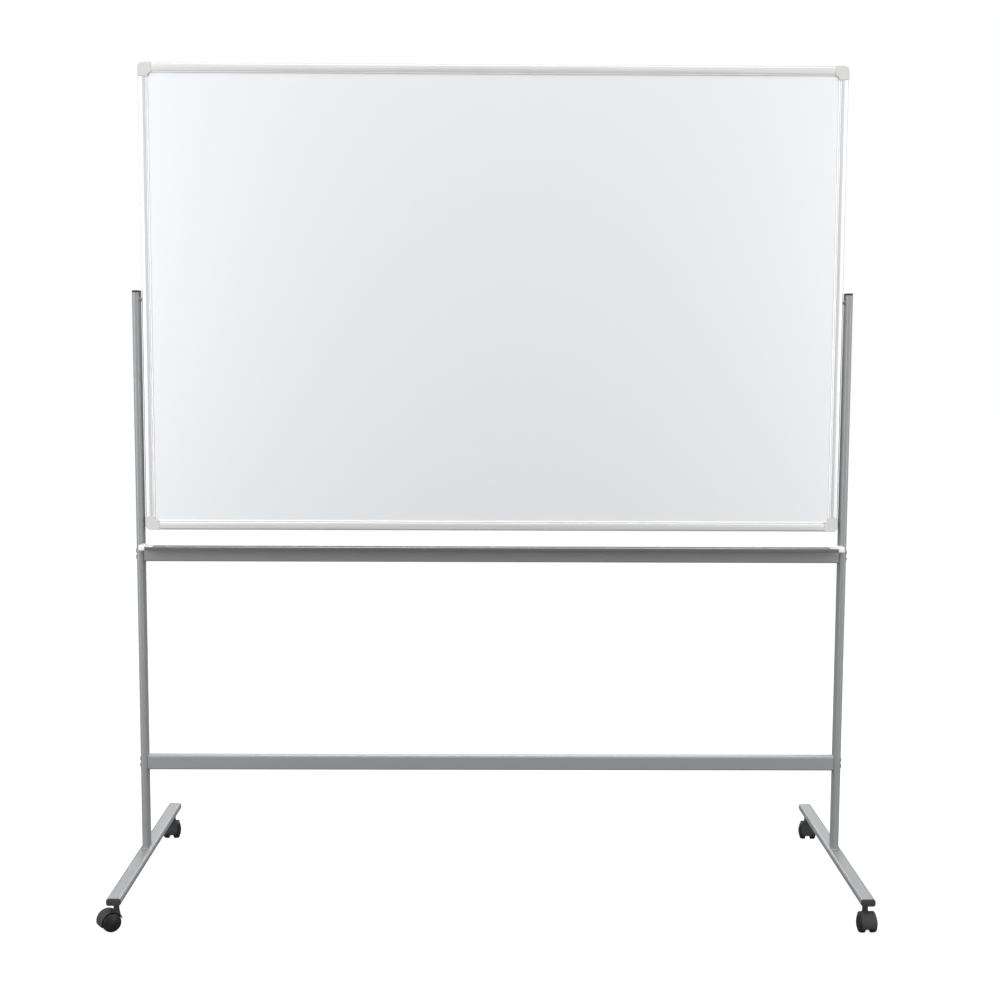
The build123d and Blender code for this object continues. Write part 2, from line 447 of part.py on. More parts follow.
# ============================ Foot plugs, caster sockets, casters ============================
for end, end_sign in ENDS.items():
    for side, sign in SIDES.items():
        # Plug: rounded flange over the end of the tube, hollow insert inside it.
        with BuildPart() as plug:
            outward = Plane((sign * POST_X, end_sign * RAIL_HALF_LENGTH, RAIL_MID),
                            x_dir=(1, 0, 0), z_dir=(0, end_sign, 0))
            with BuildSketch(outward):
                RectangleRounded(RAIL_WIDTH, RAIL_HEIGHT, RAIL_CORNER)
            extrude(amount=PLUG_FLANGE)
            crown = plug.faces().sort_by(Axis.Y)[-1 if end_sign > 0 else 0]
            fillet(crown.edges(), 2.5)
            with BuildSketch(outward):
                RectangleRounded(RAIL_WIDTH - 2 * TUBE_WALL - 2 * SNUG,
                                 RAIL_HEIGHT - 2 * TUBE_WALL - 2 * SNUG,
                                 RAIL_CORNER - TUBE_WALL - SNUG)
                RectangleRounded(RAIL_WIDTH - 2 * TUBE_WALL - 2 * PLUG_WALL,
                                 RAIL_HEIGHT - 2 * TUBE_WALL - 2 * PLUG_WALL,
                                 RAIL_CORNER - TUBE_WALL - PLUG_WALL, mode=Mode.SUBTRACT)
            extrude(amount=-PLUG_INSERT)
        save(plug.part, f"{end}_{side}_foot_plug")

        axis_y = end_sign * (RAIL_HALF_LENGTH - CASTER_INSET)
        with BuildPart() as socket:
            with BuildSketch(Plane.XY.offset(RAIL_BOTTOM - SOCKET_FLANGE[1])):
                with Locations((sign * POST_X, axis_y)):
                    Circle(SOCKET_FLANGE[0] / 2)
            extrude(amount=SOCKET_FLANGE[1])
            chamfer(socket.edges().group_by(Axis.Z)[0], 0.6)
            with BuildSketch(Plane.XY.offset(RAIL_BOTTOM)):
                with Locations((sign * POST_X, axis_y)):
                    Circle(SOCKET_DIAMETER / 2)
            extrude(amount=SOCKET_TOP - RAIL_BOTTOM)
            with BuildSketch(Plane.XY.offset(RAIL_BOTTOM - SOCKET_FLANGE[1])):
                with Locations((sign * POST_X, axis_y)):
                    Circle(STEM_DIAMETER / 2 + STEM_RUNNING_FIT)
            extrude(amount=STEM_TOP + SNUG - RAIL_BOTTOM + SOCKET_FLANGE[1], mode=Mode.SUBTRACT)
        save(socket.part, f"{end}_{side}_caster_socket")

        # The caster is drawn trailing towards -Y about the origin, then turned to its rest angle.
        turned = Location((sign * POST_X, axis_y, 0), (0, 0, CASTER_REST[f"{end}_{side}"]))
        axle_centre = (-TRAIL, WHEEL_RADIUS)
        inner_arc = WHEEL_RADIUS + HOOD_GAP
        outer_arc = inner_arc + HOOD_THICKNESS
        middle_angle = (HOOD_FROM + HOOD_TO) / 2

        def on_arc(radius, angle):
            """Point in the YZ plane at an angle from straight up, positive to the trailing side."""
            turn = radians(angle)
            return (axle_centre[0] - radius * sin(turn), axle_centre[1] + radius * cos(turn))

        with BuildPart() as body:
            # Side view of the body: the hood's outer arc, closed round the axle by the web's toe.
            with BuildSketch(Plane.YZ.offset(-HOOD_HALF_WIDTH)):
                with BuildLine():
                    ThreePointArc(on_arc(outer_arc, HOOD_FROM), on_arc(outer_arc, middle_angle),
                                  on_arc(outer_arc, HOOD_TO))
                    Polyline(on_arc(outer_arc, HOOD_TO), on_arc(inner_arc, HOOD_TO), on_arc(WEB_TOE, 160))
                    ThreePointArc(on_arc(WEB_TOE, 160), on_arc(WEB_TOE, 220), on_arc(WEB_TOE, 280))
                    Polyline(on_arc(WEB_TOE, 280), on_arc(inner_arc, HOOD_FROM),
                             on_arc(outer_arc, HOOD_FROM))
                make_face()
            extrude(amount=2 * HOOD_HALF_WIDTH)
            # Boss rising from the hood to the stem collar.
            with BuildSketch(Plane.XZ):
                with BuildLine():
                    Polyline((0, BOSS_ROOT), (BOSS_ROOT_RADIUS, BOSS_ROOT), (BOSS_RADIUS, BOSS_TOP),
                             (0, BOSS_TOP), close=True)
                make_face()
            revolve(axis=Axis.Z)
            # Room for the two wheels, which leaves the hood and the web between them.
            for wheel_sign in SIDES.values():
                with BuildSketch(Plane.YZ.offset(wheel_sign * WEB_WIDTH / 2)):
                    with Locations(axle_centre):
                        Circle(inner_arc)
                extrude(amount=wheel_sign * HOOD_HALF_WIDTH, mode=Mode.SUBTRACT)
            with BuildSketch(Plane.YZ.offset(-WEB_WIDTH / 2)):
                with Locations(axle_centre):
                    Circle(AXLE_DIAMETER / 2)
            extrude(amount=WEB_WIDTH, mode=Mode.SUBTRACT)
            with BuildSketch(Plane.XY.offset(STEM_BOTTOM)):
                Circle(STEM_DIAMETER / 2)
            extrude(amount=BOSS_TOP - STEM_BOTTOM, mode=Mode.SUBTRACT)
        save(turned * body.part, f"{end}_{side}_caster_body")

        with BuildPart() as stem:
            with BuildSketch(Plane.XY.offset(STEM_BOTTOM)):
                Circle(STEM_DIAMETER / 2)
            extrude(amount=STEM_TOP - STEM_BOTTOM)
            chamfer(stem.edges().group_by(Axis.Z)[-1], 1.0)
            with BuildSketch(Plane.XY.offset(BOSS_TOP)):
                Circle(COLLAR[0] / 2)
            extrude(amount=COLLAR[1] - BOSS_TOP)
        save(turned * stem.part, f"{end}_{side}_caster_stem")

        with BuildPart() as axle:
            with BuildSketch(Plane.YZ.offset(-AXLE_HALF_LENGTH)):
                with Locations(axle_centre):
                    Circle(AXLE_DIAMETER / 2)
            extrude(amount=2 * AXLE_HALF_LENGTH)
        save(turned * axle.part, f"{end}_{side}_caster_axle")

        for wheel_side, wheel_sign in SIDES.items():
            # Half section, local X from the middle outwards and local Y from the axle: flat tread,
            # rounded shoulder and domed face outside; hub, hollow and rim inside.
            half_section = Plane((0, -TRAIL, WHEEL_RADIUS), x_dir=(wheel_sign, 0, 0),
                                 z_dir=(0, 0, wheel_sign))
            inner_face, bore = WHEEL_GAP / 2, AXLE_DIAMETER / 2 + WHEEL_RUNNING_FIT
            bore_end = AXLE_HALF_LENGTH + AXLE_END_GAP
            with BuildPart() as wheel:
                with BuildSketch(half_section):
                    with BuildLine():
                        Polyline((DOME_TIP, 0), (bore_end, 0), (bore_end, bore), (inner_face, bore),
                                 (inner_face, HUB_RADIUS), (inner_face + WHEEL_RECESS, HUB_RADIUS),
                                 (inner_face + WHEEL_RECESS, WHEEL_RADIUS - RIM_THICKNESS),
                                 (inner_face, WHEEL_RADIUS - RIM_THICKNESS), (inner_face, WHEEL_RADIUS - 1),
                                 (inner_face + 1, WHEEL_RADIUS), (TREAD_EDGE, WHEEL_RADIUS))
                        TangentArc((TREAD_EDGE, WHEEL_RADIUS), SHOULDER, tangent=(1, 0))
                        TangentArc((DOME_TIP, 0), SHOULDER, tangent=(0, 1))
                    make_face()
                revolve(axis=Axis((0, -TRAIL, WHEEL_RADIUS), (1, 0, 0)))
            save(turned * wheel.part, f"{end}_{side}_caster_{wheel_side}_wheel")
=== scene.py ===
import logging
import math
from dataclasses import dataclass, field
from enum import Enum
from typing import Sequence

import bpy
import numpy as np
from mathutils import Matrix, Vector


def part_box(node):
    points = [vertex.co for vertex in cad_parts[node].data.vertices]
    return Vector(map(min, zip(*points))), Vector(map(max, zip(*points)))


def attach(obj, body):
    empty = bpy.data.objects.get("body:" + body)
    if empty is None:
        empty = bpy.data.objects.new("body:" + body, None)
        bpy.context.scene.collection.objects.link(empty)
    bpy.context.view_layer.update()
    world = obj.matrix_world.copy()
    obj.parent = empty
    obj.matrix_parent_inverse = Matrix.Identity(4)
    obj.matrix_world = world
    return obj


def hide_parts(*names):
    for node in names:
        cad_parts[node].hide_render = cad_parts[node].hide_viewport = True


# Looks of the reversible rolling board. Metres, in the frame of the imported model:
# origin on the floor between the legs, +X right, -Y towards the viewer, +Z up.

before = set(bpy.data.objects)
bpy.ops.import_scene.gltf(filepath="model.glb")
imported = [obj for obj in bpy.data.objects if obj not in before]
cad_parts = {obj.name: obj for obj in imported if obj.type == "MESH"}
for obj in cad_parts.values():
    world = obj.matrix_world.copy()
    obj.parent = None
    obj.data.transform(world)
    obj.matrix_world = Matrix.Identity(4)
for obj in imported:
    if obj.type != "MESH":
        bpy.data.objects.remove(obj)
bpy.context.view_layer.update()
LOG = logging.getLogger("rolling_board")
MM = 0.001
SMOOTH_BELOW = math.radians(32)
FLAT_RIM = 0.3 * MM       # flat border that keeps a slab's face from shading into its rounded rim
TINY = 1e-9               # lengths below this count as none
SAME_POINT = 1e-7         # points closer than this are merged
SHARPEST_CORNER = 0.35    # floor that keeps an inset corner from shooting away


Socket, Node, Tree = bpy.types.NodeSocket, bpy.types.Node, bpy.types.NodeTree
Colour = tuple[float, float, float]


# ---------------------------------------------------------------- surfaces

class Sign(Enum):
    """A named direction along an axis."""

    @property
    def word(self) -> str:
        """The direction's word as the CAD node names spell it."""
        return self.name.lower()

    def outer_first(self, low: float, high: float) -> tuple[float, float]:
        """Puts two coordinates in order, the one farther out on this side first."""
        return (low, high) if self.value < 0 else (high, low)


class Side(Sign):
    """The two sides of the stand, with the sign of X."""

    LEFT = -1
    RIGHT = 1


class End(Sign):
    """The two ends of a foot rail, with the sign of Y."""

    FRONT = -1
    REAR = 1


def node_box(name: str) -> tuple[np.ndarray, np.ndarray]:
    """Lowest and highest corner of a CAD node as arrays."""
    low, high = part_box(name)
    return np.array(low), np.array(high)


def rounded_rectangle(width: float, height: float, radius: float, steps: int = 6) -> np.ndarray:
    """Closed outline of a rectangle whose corners are quarter circles.

    Each corner is its centre plus the radius times the cosine and sine of an angle that runs
    through a quarter turn; the four quarters follow one another anticlockwise.

    Args:
        width: Full size along the first axis.
        height: Full size along the second axis.
        radius: Corner radius.
        steps: Points per corner.

    Returns:
        Array of shape (4 * steps, 2).
    """
    quarter = np.linspace(0, math.pi / 2, steps)
    turns = (np.arange(4)[:, None] * math.pi / 2 + quarter).ravel()
    signs = np.repeat([[1, 1], [-1, 1], [-1, -1], [1, -1]], steps, axis=0)
    centre = signs * [width / 2 - radius, height / 2 - radius]
    return centre + radius * np.stack([np.cos(turns), np.sin(turns)], axis=1)


def rounded_outline(corners: Sequence[tuple[float, float, float]], steps: int = 6) -> np.ndarray:
    """Closed outline through corners, each rounded to its own radius.

    The arc touches both edges at the radius over the tangent of half the corner's angle. Its
    points are the chord between those two places, pushed out from the centre to the radius.

    Args:
        corners: Points (x, y, radius), anticlockwise.
        steps: Points per rounded corner.

    Returns:
        Array of outline points.
    """
    points = np.array([c[:2] for c in corners], float)
    radii = np.array([c[2] for c in corners], float)
    before, after = np.roll(points, 1, 0) - points, np.roll(points, -1, 0) - points
    before /= np.linalg.norm(before, axis=1, keepdims=True)
    after /= np.linalg.norm(after, axis=1, keepdims=True)
    half = np.arccos(np.clip((before * after).sum(1), -1, 1)) / 2
    reach = (radii / np.tan(half))[:, None]
    middle = (before + after) / np.linalg.norm(before + after, axis=1, keepdims=True)
    centre = points + middle * (radii / np.sin(half))[:, None]
    start, finish = points + before * reach, points + after * reach
    share = np.linspace(0, 1, steps)[None, :, None]
    chord = start[:, None] * (1 - share) + finish[:, None] * share - centre[:, None]
    length = np.maximum(np.linalg.norm(chord, axis=2, keepdims=True), TINY)
    arc = centre[:, None] + chord / length * radii[:, None, None]
    unrounded = radii < TINY
    arc[unrounded] = points[unrounded][:, None]
    outline = arc.reshape(-1, 2)
    apart = np.linalg.norm(outline - np.roll(outline, 1, 0), axis=1) > SAME_POINT
    return outline[apart]


def inset(outline: np.ndarray, distance: np.ndarray) -> np.ndarray:
    """Outlines moved inwards, each point along the mean of its two edge normals.

    Args:
        outline: Anticlockwise closed outline (N, 2).
        distance: Insets, one for each new outline (M,).

    Returns:
        Array of shape (M, N, 2).
    """
    edge = np.roll(outline, -1, 0) - outline
    edge /= np.linalg.norm(edge, axis=1, keepdims=True)
    inward = np.stack([-edge[:, 1], edge[:, 0]], axis=1)
    mean = inward + np.roll(inward, 1, 0)
    mean /= np.maximum((mean * mean).sum(1, keepdims=True) / 2, SHARPEST_CORNER)
    return outline[None] + mean[None] * np.asarray(distance, float)[:, None, None]


def edge_rounding(radius: float, steps: int = 4) -> tuple[np.ndarray, np.ndarray]:
    """Quarter circle of an edge as insets and depths: r(1 - sin a) inwards and r(1 - cos a) down."""
    angle = np.linspace(0, math.pi / 2, steps)
    return radius * (1 - np.sin(angle)), radius * (1 - np.cos(angle))


@dataclass
class Skin:
    """Points and faces gathered for one mesh."""

    points: list[np.ndarray] = field(default_factory=list)
    faces: list[list[int]] = field(default_factory=list)
    count: int = 0

    def add(self, rings: np.ndarray, round_the_rings: bool = True, closed_along: bool = False,
            caps: bool = True, inside_out: bool = False) -> "Skin":
        """Adds a grid of points as quads, joined round each ring and along the rings.

        Args:
            rings: Points (M, N, 3), M rings of N points.
            round_the_rings: Whether the last point of a ring joins its first.
            closed_along: Whether the last ring joins the first.
            caps: Whether the first and last ring are closed with a face each.
            inside_out: Whether the faces are turned over.

        Returns:
            This skin, so that calls can follow one another.
        """
        rows, columns = rings.shape[:2]
        i = np.arange(rows if closed_along else rows - 1)[:, None]
        j = np.arange(columns if round_the_rings else columns - 1)[None, :]
        following_i, following_j = (i + 1) % rows, (j + 1) % columns
        quads = np.stack(np.broadcast_arrays(i * columns + j, i * columns + following_j,
                                             following_i * columns + following_j,
                                             following_i * columns + j), axis=-1).reshape(-1, 4)
        new = (quads + self.count).tolist()
        if caps and not closed_along:
            first = np.arange(columns)[::-1] + self.count
            last = np.arange(columns) + self.count + (rows - 1) * columns
            new += [first.tolist(), last.tolist()]
        if inside_out:
            new = [face[::-1] for face in new]
        self.points.append(rings.reshape(-1, 3))
        self.faces += new
        self.count += rows * columns
        return self

    def piece(self, name: str, sharp_above: float = SMOOTH_BELOW) -> bpy.types.Object:
        """Makes the object, smooth except where faces meet at more than the given angle."""
        mesh = bpy.data.meshes.new(name)
        mesh.from_pydata(np.concatenate(self.points).tolist(), [], self.faces)
        mesh.validate()
        mesh.shade_smooth()
        mesh.set_sharp_from_angle(angle=sharp_above)
        made = bpy.data.objects.new(name, mesh)
        bpy.context.scene.collection.objects.link(made)
        return made


def place(flat: np.ndarray, across: Sequence[float], up: Sequence[float], along: Sequence[float],
          origin: Sequence[float], depth: np.ndarray) -> np.ndarray:
    """Puts outlines in space: origin + first * across + second * up + depth * along.

    Args:
        flat: Outlines (M, N, 2), or (N, 2) for the same outline at every depth.
        across: Direction of the outline's first axis.
        up: Direction of its second axis.
        along: Direction of the depths.
        origin: Point that the outline's origin goes to.
        depth: Depths (M,).

    Returns:
        Points (M, N, 3).
    """
    depth = np.asarray(depth, float)
    if flat.ndim == 2:
        flat = np.broadcast_to(flat, (len(depth), *flat.shape))
    across, up, along = (np.array(v, float) for v in (across, up, along))
    return (np.array(origin, float) + flat[..., :1] * across + flat[..., 1:] * up
            + depth[:, None, None] * along)


def rounded_plate(outline: np.ndarray, low: float, high: float,
                  edge: float) -> tuple[np.ndarray, np.ndarray]:
    """Outlines and depths of a slab whose rims are quarter circles.

    Args:
        outline: Anticlockwise outline (N, 2).
        low: Depth of the lower face.
        high: Depth of the upper face.
        edge: Radius of both rims.

    Returns:
        Outlines (M, N, 2) and their depths (M,).
    """
    inwards, drop = edge_rounding(edge)
    inwards, drop = np.append(edge + FLAT_RIM, inwards), np.append(0.0, drop)
    insets = np.concatenate([inwards, inwards[::-1]])
    depths = np.concatenate([low + drop, high - drop[::-1]])
    return inset(outline, insets), depths


def lathe(profile: np.ndarray, centre: Sequence[float], axis: Sequence[float],
          steps: int = 64) -> np.ndarray:
    """Rings of a turned shape: centre + distance * axis + radius * (cos t * a + sin t * b).

    Args:
        profile: Points (distance along the axis, radius), closed into a loop by the caller's choice.
        centre: Point on the axis.
        axis: Unit axis.
        steps: Number of turns of the profile.

    Returns:
        Points (steps, len(profile), 3), one profile for each angle.
    """
    axis = np.array(axis, float)
    helper = np.array([0, 0, 1.0]) if abs(axis[2]) < 0.9 else np.array([0, 1.0, 0])
    a = np.cross(axis, helper)
    a /= np.linalg.norm(a)
    b = np.cross(axis, a)
    turn = np.linspace(0, 2 * math.pi, steps, endpoint=False)
    spoke = np.cos(turn)[:, None] * a + np.sin(turn)[:, None] * b
    return (np.array(centre, float) + profile[None, :, :1] * axis
            + profile[None, :, 1:] * spoke[:, None, :])


# ---------------------------------------------------------------- shared effects

class Effect(Enum):
    """Shader node groups that several finishes share."""

    MOULDED_GRAIN = "moulded_grain"
    DRAWN_LINES = "drawn_lines"
    SETTLED_DUST = "settled_dust"
    RUB_MARKS = "rub_marks"


class Wiring:
    """Small helper round one node tree."""

    def __init__(self, tree: Tree) -> None:
        """Keeps the tree."""
        self.tree = tree

    def node(self, kind: str, **settings: object) -> Node:
        """Adds a node; settings are its properties, or inputs where a property has no such name."""
        made = self.tree.nodes.new(kind)
        for name, value in settings.items():
            if hasattr(made, name):
                setattr(made, name, value)
            else:
                made.inputs[name.replace("_", " ").title()].default_value = value
        return made

    def link(self, source: Socket, target: Socket) -> None:
        """Links two sockets."""
        self.tree.links.new(source, target)

    def fill(self, socket: Socket, value: object) -> None:
        """Links a socket to the value, or sets it where the value is a constant."""
        if isinstance(value, Socket):
            self.link(value, socket)
        else:
            socket.default_value = value

    def noise(self, vector: Socket, scale: object, detail: float = 2.0,
              rough: float = 0.5) -> Socket:
        """Noise over the vector, its scale a number or a socket."""
        made = self.node("ShaderNodeTexNoise")
        made.inputs["Detail"].default_value = detail
        made.inputs["Roughness"].default_value = rough
        self.link(vector, made.inputs["Vector"])
        self.fill(made.inputs["Scale"], scale)
        return made.outputs["Fac"]

    def math(self, operation: str, first: object, second: object = 0.0,
             clamp: bool = False) -> Socket:
        """One arithmetic step on numbers or sockets."""
        made = self.node("ShaderNodeMath", operation=operation, use_clamp=clamp)
        for value, socket in zip((first, second), made.inputs):
            self.fill(socket, value)
        return made.outputs[0]

    def span(self, value: Socket, start: float, finish: float,
             low: float = 0.0, high: float = 1.0) -> Socket:
        """Smooth step of a value from one range to another."""
        made = self.node("ShaderNodeMapRange", interpolation_type="SMOOTHSTEP")
        for name, number in zip(("From Min", "From Max", "To Min", "To Max"), (start, finish, low, high)):
            made.inputs[name].default_value = number
        self.link(value, made.inputs["Value"])
        return made.outputs["Result"]

    def blend(self, share: Socket, first: object, second: object) -> Socket:
        """Mixes two colours, given as tuples or sockets."""
        made = self.node("ShaderNodeMix", data_type="RGBA")
        self.link(share, made.inputs["Factor"])
        for value, name in ((first, "A"), (second, "B")):
            socket = [s for s in made.inputs if s.name == name and s.type == "RGBA"][0]
            self.fill(socket, value if isinstance(value, Socket) else (*value, 1.0))
        return [s for s in made.outputs if s.type == "RGBA"][0]


class EffectLibrary:
    """Builds each shared effect once and hands it out."""

    def __init__(self) -> None:
        """Starts with no groups."""
        self.built: dict[Effect, Tree] = {}

    def get(self, effect: Effect) -> Tree:
        """Returns the group of an effect, building it the first time."""
        if effect not in self.built:
            tree = bpy.data.node_groups.new(effect.value, "ShaderNodeTree")
            getattr(self, f"_{effect.value}")(tree)
            self.built[effect] = tree
        return self.built[effect]

    @staticmethod
    def _ends(tree: Tree, inputs: dict[str, float | None],
              outputs: Sequence[str]) -> tuple[Node, Node]:
        """Makes the group's sockets and its two end nodes; an input without a value is a vector."""
        for name, value in inputs.items():
            kind = "NodeSocketVector" if value is None else "NodeSocketFloat"
            socket = tree.interface.new_socket(name, in_out="INPUT", socket_type=kind)
            if value is not None:
                socket.default_value = value
        for name in outputs:
            tree.interface.new_socket(name, in_out="OUTPUT", socket_type="NodeSocketFloat")
        return tree.nodes.new("NodeGroupInput"), tree.nodes.new("NodeGroupOutput")

    def _moulded_grain(self, tree: Tree) -> None:
        """Fine pebbled height: two noises, the finer at half the weight of the coarser."""
        start, finish = self._ends(tree, {"Vector": None, "Scale": 900}, ["Height"])
        wires = Wiring(tree)
        coarse = wires.noise(start.outputs["Vector"], start.outputs["Scale"], 2)
        fine = wires.noise(start.outputs["Vector"], wires.math("MULTIPLY", start.outputs["Scale"], 2.7), 1)
        wires.link(wires.math("ADD", coarse, wires.math("MULTIPLY", fine, 0.5)), finish.inputs["Height"])

    def _drawn_lines(self, tree: Tree) -> None:
        """Long fine streaks: noise over coordinates squeezed along the drawing direction."""
        start, finish = self._ends(tree, {"Vector": None}, ["Lines"])
        wires = Wiring(tree)
        wires.link(wires.noise(start.outputs["Vector"], 1.0, 4, 0.65), finish.inputs["Lines"])

    def _settled_dust(self, tree: Tree) -> None:
        """Mask of dust on surfaces that look up, broken by noise."""
        start, finish = self._ends(tree, {"Vector": None, "Normal": None, "Amount": 0.3}, ["Mask"])
        wires = Wiring(tree)
        parts = wires.node("ShaderNodeSeparateXYZ")
        wires.link(start.outputs["Normal"], parts.inputs[0])
        upward = wires.span(parts.outputs["Z"], 0.25, 0.95)
        broken = wires.span(wires.noise(start.outputs["Vector"], 70, 5, 0.62), 0.34, 0.72)
        both = wires.math("MULTIPLY", upward, broken)
        wires.link(wires.math("MULTIPLY", both, start.outputs["Amount"], True), finish.inputs["Mask"])

    def _rub_marks(self, tree: Tree) -> None:
        """Sparse scuffs: a fine noise that shows only where a coarse one is high."""
        start, finish = self._ends(tree, {"Vector": None, "Scale": 40, "Amount": 0.3}, ["Mask"])
        wires = Wiring(tree)
        where = wires.span(wires.noise(start.outputs["Vector"], start.outputs["Scale"], 3), 0.56, 0.68)
        finer = wires.math("MULTIPLY", start.outputs["Scale"], 9.0)
        fine = wires.span(wires.noise(start.outputs["Vector"], finer, 4, 0.7), 0.5, 0.62)
        both = wires.math("MULTIPLY", where, fine)
        wires.link(wires.math("MULTIPLY", both, start.outputs["Amount"], True), finish.inputs["Mask"])


EFFECTS = EffectLibrary()


# ---------------------------------------------------------------- finishes

@dataclass(frozen=True)
class Finish:
    """A finish with a grain, rub marks and settled dust over one base colour."""

    name: str
    colour: Colour
    rough: float
    metal: float = 0.0
    coat: float = 0.0
    coat_rough: float = 0.1
    grain_scale: float = 900.0
    grain_height: float = 0.02
    rub: float = 0.2
    rub_scale: float = 40.0
    rub_colour: Colour = (0.5, 0.5, 0.5)
    dust: float = 0.1
    dust_colour: Colour = (0.5, 0.48, 0.44)
    drift: float = 0.06
    shine: float = 0.5

    def material(self) -> bpy.types.Material:
        """Builds the material, or returns the one already built."""
        if self.name in bpy.data.materials:
            return bpy.data.materials[self.name]
        made = bpy.data.materials.new(self.name)
        made.use_nodes = True
        wires = Wiring(made.node_tree)
        shader = made.node_tree.nodes["Principled BSDF"]
        shader.inputs["Metallic"].default_value = self.metal
        shader.inputs["Specular IOR Level"].default_value = self.shine
        shader.inputs["Coat Weight"].default_value = self.coat
        shader.inputs["Coat Roughness"].default_value = self.coat_rough
        places = wires.node("ShaderNodeTexCoord")
        self.dress(wires, shader, places.outputs["Object"], places.outputs["Normal"])
        made.diffuse_color = (*self.colour, 1.0)
        return made

    def group(self, wires: Wiring, effect: Effect, **inputs: object) -> Node:
        """Places a shared effect with its own values."""
        made = wires.node("ShaderNodeGroup")
        made.node_tree = EFFECTS.get(effect)
        for name, value in inputs.items():
            wires.fill(made.inputs[name.title()], value)
        return made

    def soiled(self, wires: Wiring, place: Socket, normal: Socket,
               base: object) -> tuple[Socket, Socket]:
        """Lays rub marks and dust over a base colour.

        Args:
            wires: The material's wiring.
            place: Object coordinates.
            normal: Normal in object space.
            base: Base colour as a tuple or socket.

        Returns:
            The colour, and the mask of everything that dulls the surface.
        """
        rub = self.group(wires, Effect.RUB_MARKS, vector=place, scale=self.rub_scale, amount=self.rub)
        dust = self.group(wires, Effect.SETTLED_DUST, vector=place, normal=normal, amount=self.dust)
        colour = wires.blend(rub.outputs["Mask"], base, self.rub_colour)
        colour = wires.blend(dust.outputs["Mask"], colour, self.dust_colour)
        return colour, wires.math("MAXIMUM", rub.outputs["Mask"], dust.outputs["Mask"])

    def bump(self, wires: Wiring, shader: Node, height: Socket,
             distance: float) -> None:
        """Sends a height to the shader's normal; the distance is in metres."""
        made = wires.node("ShaderNodeBump")
        made.inputs["Strength"].default_value = 1.0
        made.inputs["Distance"].default_value = distance
        wires.link(height, made.inputs["Height"])
        wires.link(made.outputs["Normal"], shader.inputs["Normal"])

    def tinted(self, wires: Wiring, place: Socket) -> Socket:
        """The base colour drifting a little over the piece."""
        return wires.blend(wires.span(wires.noise(place, 6, 3), 0.3, 0.7), *self.tones(self.drift))

    def tones(self, share: float) -> tuple[Colour, Colour]:
        """The base colour darkened and paled by a share."""
        darker = tuple(c * (1 - share) for c in self.colour)
        return darker, tuple(min(1.0, c * (1 + share)) for c in self.colour)

    def dress(self, wires: Wiring, shader: Node, place: Socket,
              normal: Socket) -> None:
        """Fills in colour, roughness and normal."""
        colour, dull = self.soiled(wires, place, normal, self.tinted(wires, place))
        wires.link(colour, shader.inputs["Base Color"])
        wires.link(wires.math("ADD", wires.math("MULTIPLY", dull, 0.35), self.rough, True),
                   shader.inputs["Roughness"])
        grain = self.group(wires, Effect.MOULDED_GRAIN, vector=place, scale=self.grain_scale)
        self.bump(wires, shader, grain.outputs["Height"], self.grain_height * MM)


@dataclass(frozen=True)
class DrawnMetal(Finish):
    """Extruded metal with fine lines along one axis."""

    stretch: tuple[float, float, float] = (2.0, 900.0, 900.0)
    line_contrast: float = 0.10
    line_height: float = 0.004

    def dress(self, wires: Wiring, shader: Node, place: Socket,
              normal: Socket) -> None:
        """Fills in colour, roughness and normal from the drawing lines."""
        mapping = wires.node("ShaderNodeMapping")
        mapping.inputs["Scale"].default_value = self.stretch
        wires.link(place, mapping.inputs["Vector"])
        drawn = self.group(wires, Effect.DRAWN_LINES, vector=mapping.outputs[0])
        lines = drawn.outputs["Lines"]
        base = wires.blend(wires.span(lines, 0.3, 0.7), *self.tones(self.line_contrast))
        colour, dull = self.soiled(wires, place, normal, base)
        wires.link(colour, shader.inputs["Base Color"])
        varied = wires.math("ADD", wires.span(lines, 0.3, 0.7, -0.05, 0.05), self.rough)
        wires.link(wires.math("ADD", wires.math("MULTIPLY", dull, 0.4), varied, True),
                   shader.inputs["Roughness"])
        self.bump(wires, shader, lines, self.line_height * MM)


@dataclass(frozen=True)
class Enamel(Finish):
    """Fired white enamel: glossy, slightly wavy, with the faint haze that wiping leaves."""

    wave_height: float = 0.05
    haze: float = 0.05

    def dress(self, wires: Wiring, shader: Node, place: Socket,
              normal: Socket) -> None:
        """Fills in colour, roughness and normal from wipes and waves."""
        mapping = wires.node("ShaderNodeMapping")
        mapping.inputs["Rotation"].default_value = (0, math.radians(24), 0)
        mapping.inputs["Scale"].default_value = (1.6, 1.0, 11.0)
        wires.link(place, mapping.inputs["Vector"])
        wipes = wires.span(wires.noise(mapping.outputs[0], 1.9, 5, 0.6), 0.45, 0.75)
        hazy = tuple(c * (1 - self.haze) for c in self.colour)
        wires.link(wires.blend(wipes, self.colour, hazy), shader.inputs["Base Color"])
        fine = wires.math("MULTIPLY", wires.noise(place, 260, 3), 0.03)
        dulled = wires.span(wipes, 0, 1, self.rough, self.rough + 0.09)
        wires.link(wires.math("ADD", dulled, fine, True), shader.inputs["Roughness"])
        waves = wires.math("ADD", wires.noise(place, 3.5, 2),
                           wires.math("MULTIPLY", wires.noise(place, 140, 2), 0.012))
        self.bump(wires, shader, waves, self.wave_height * MM)


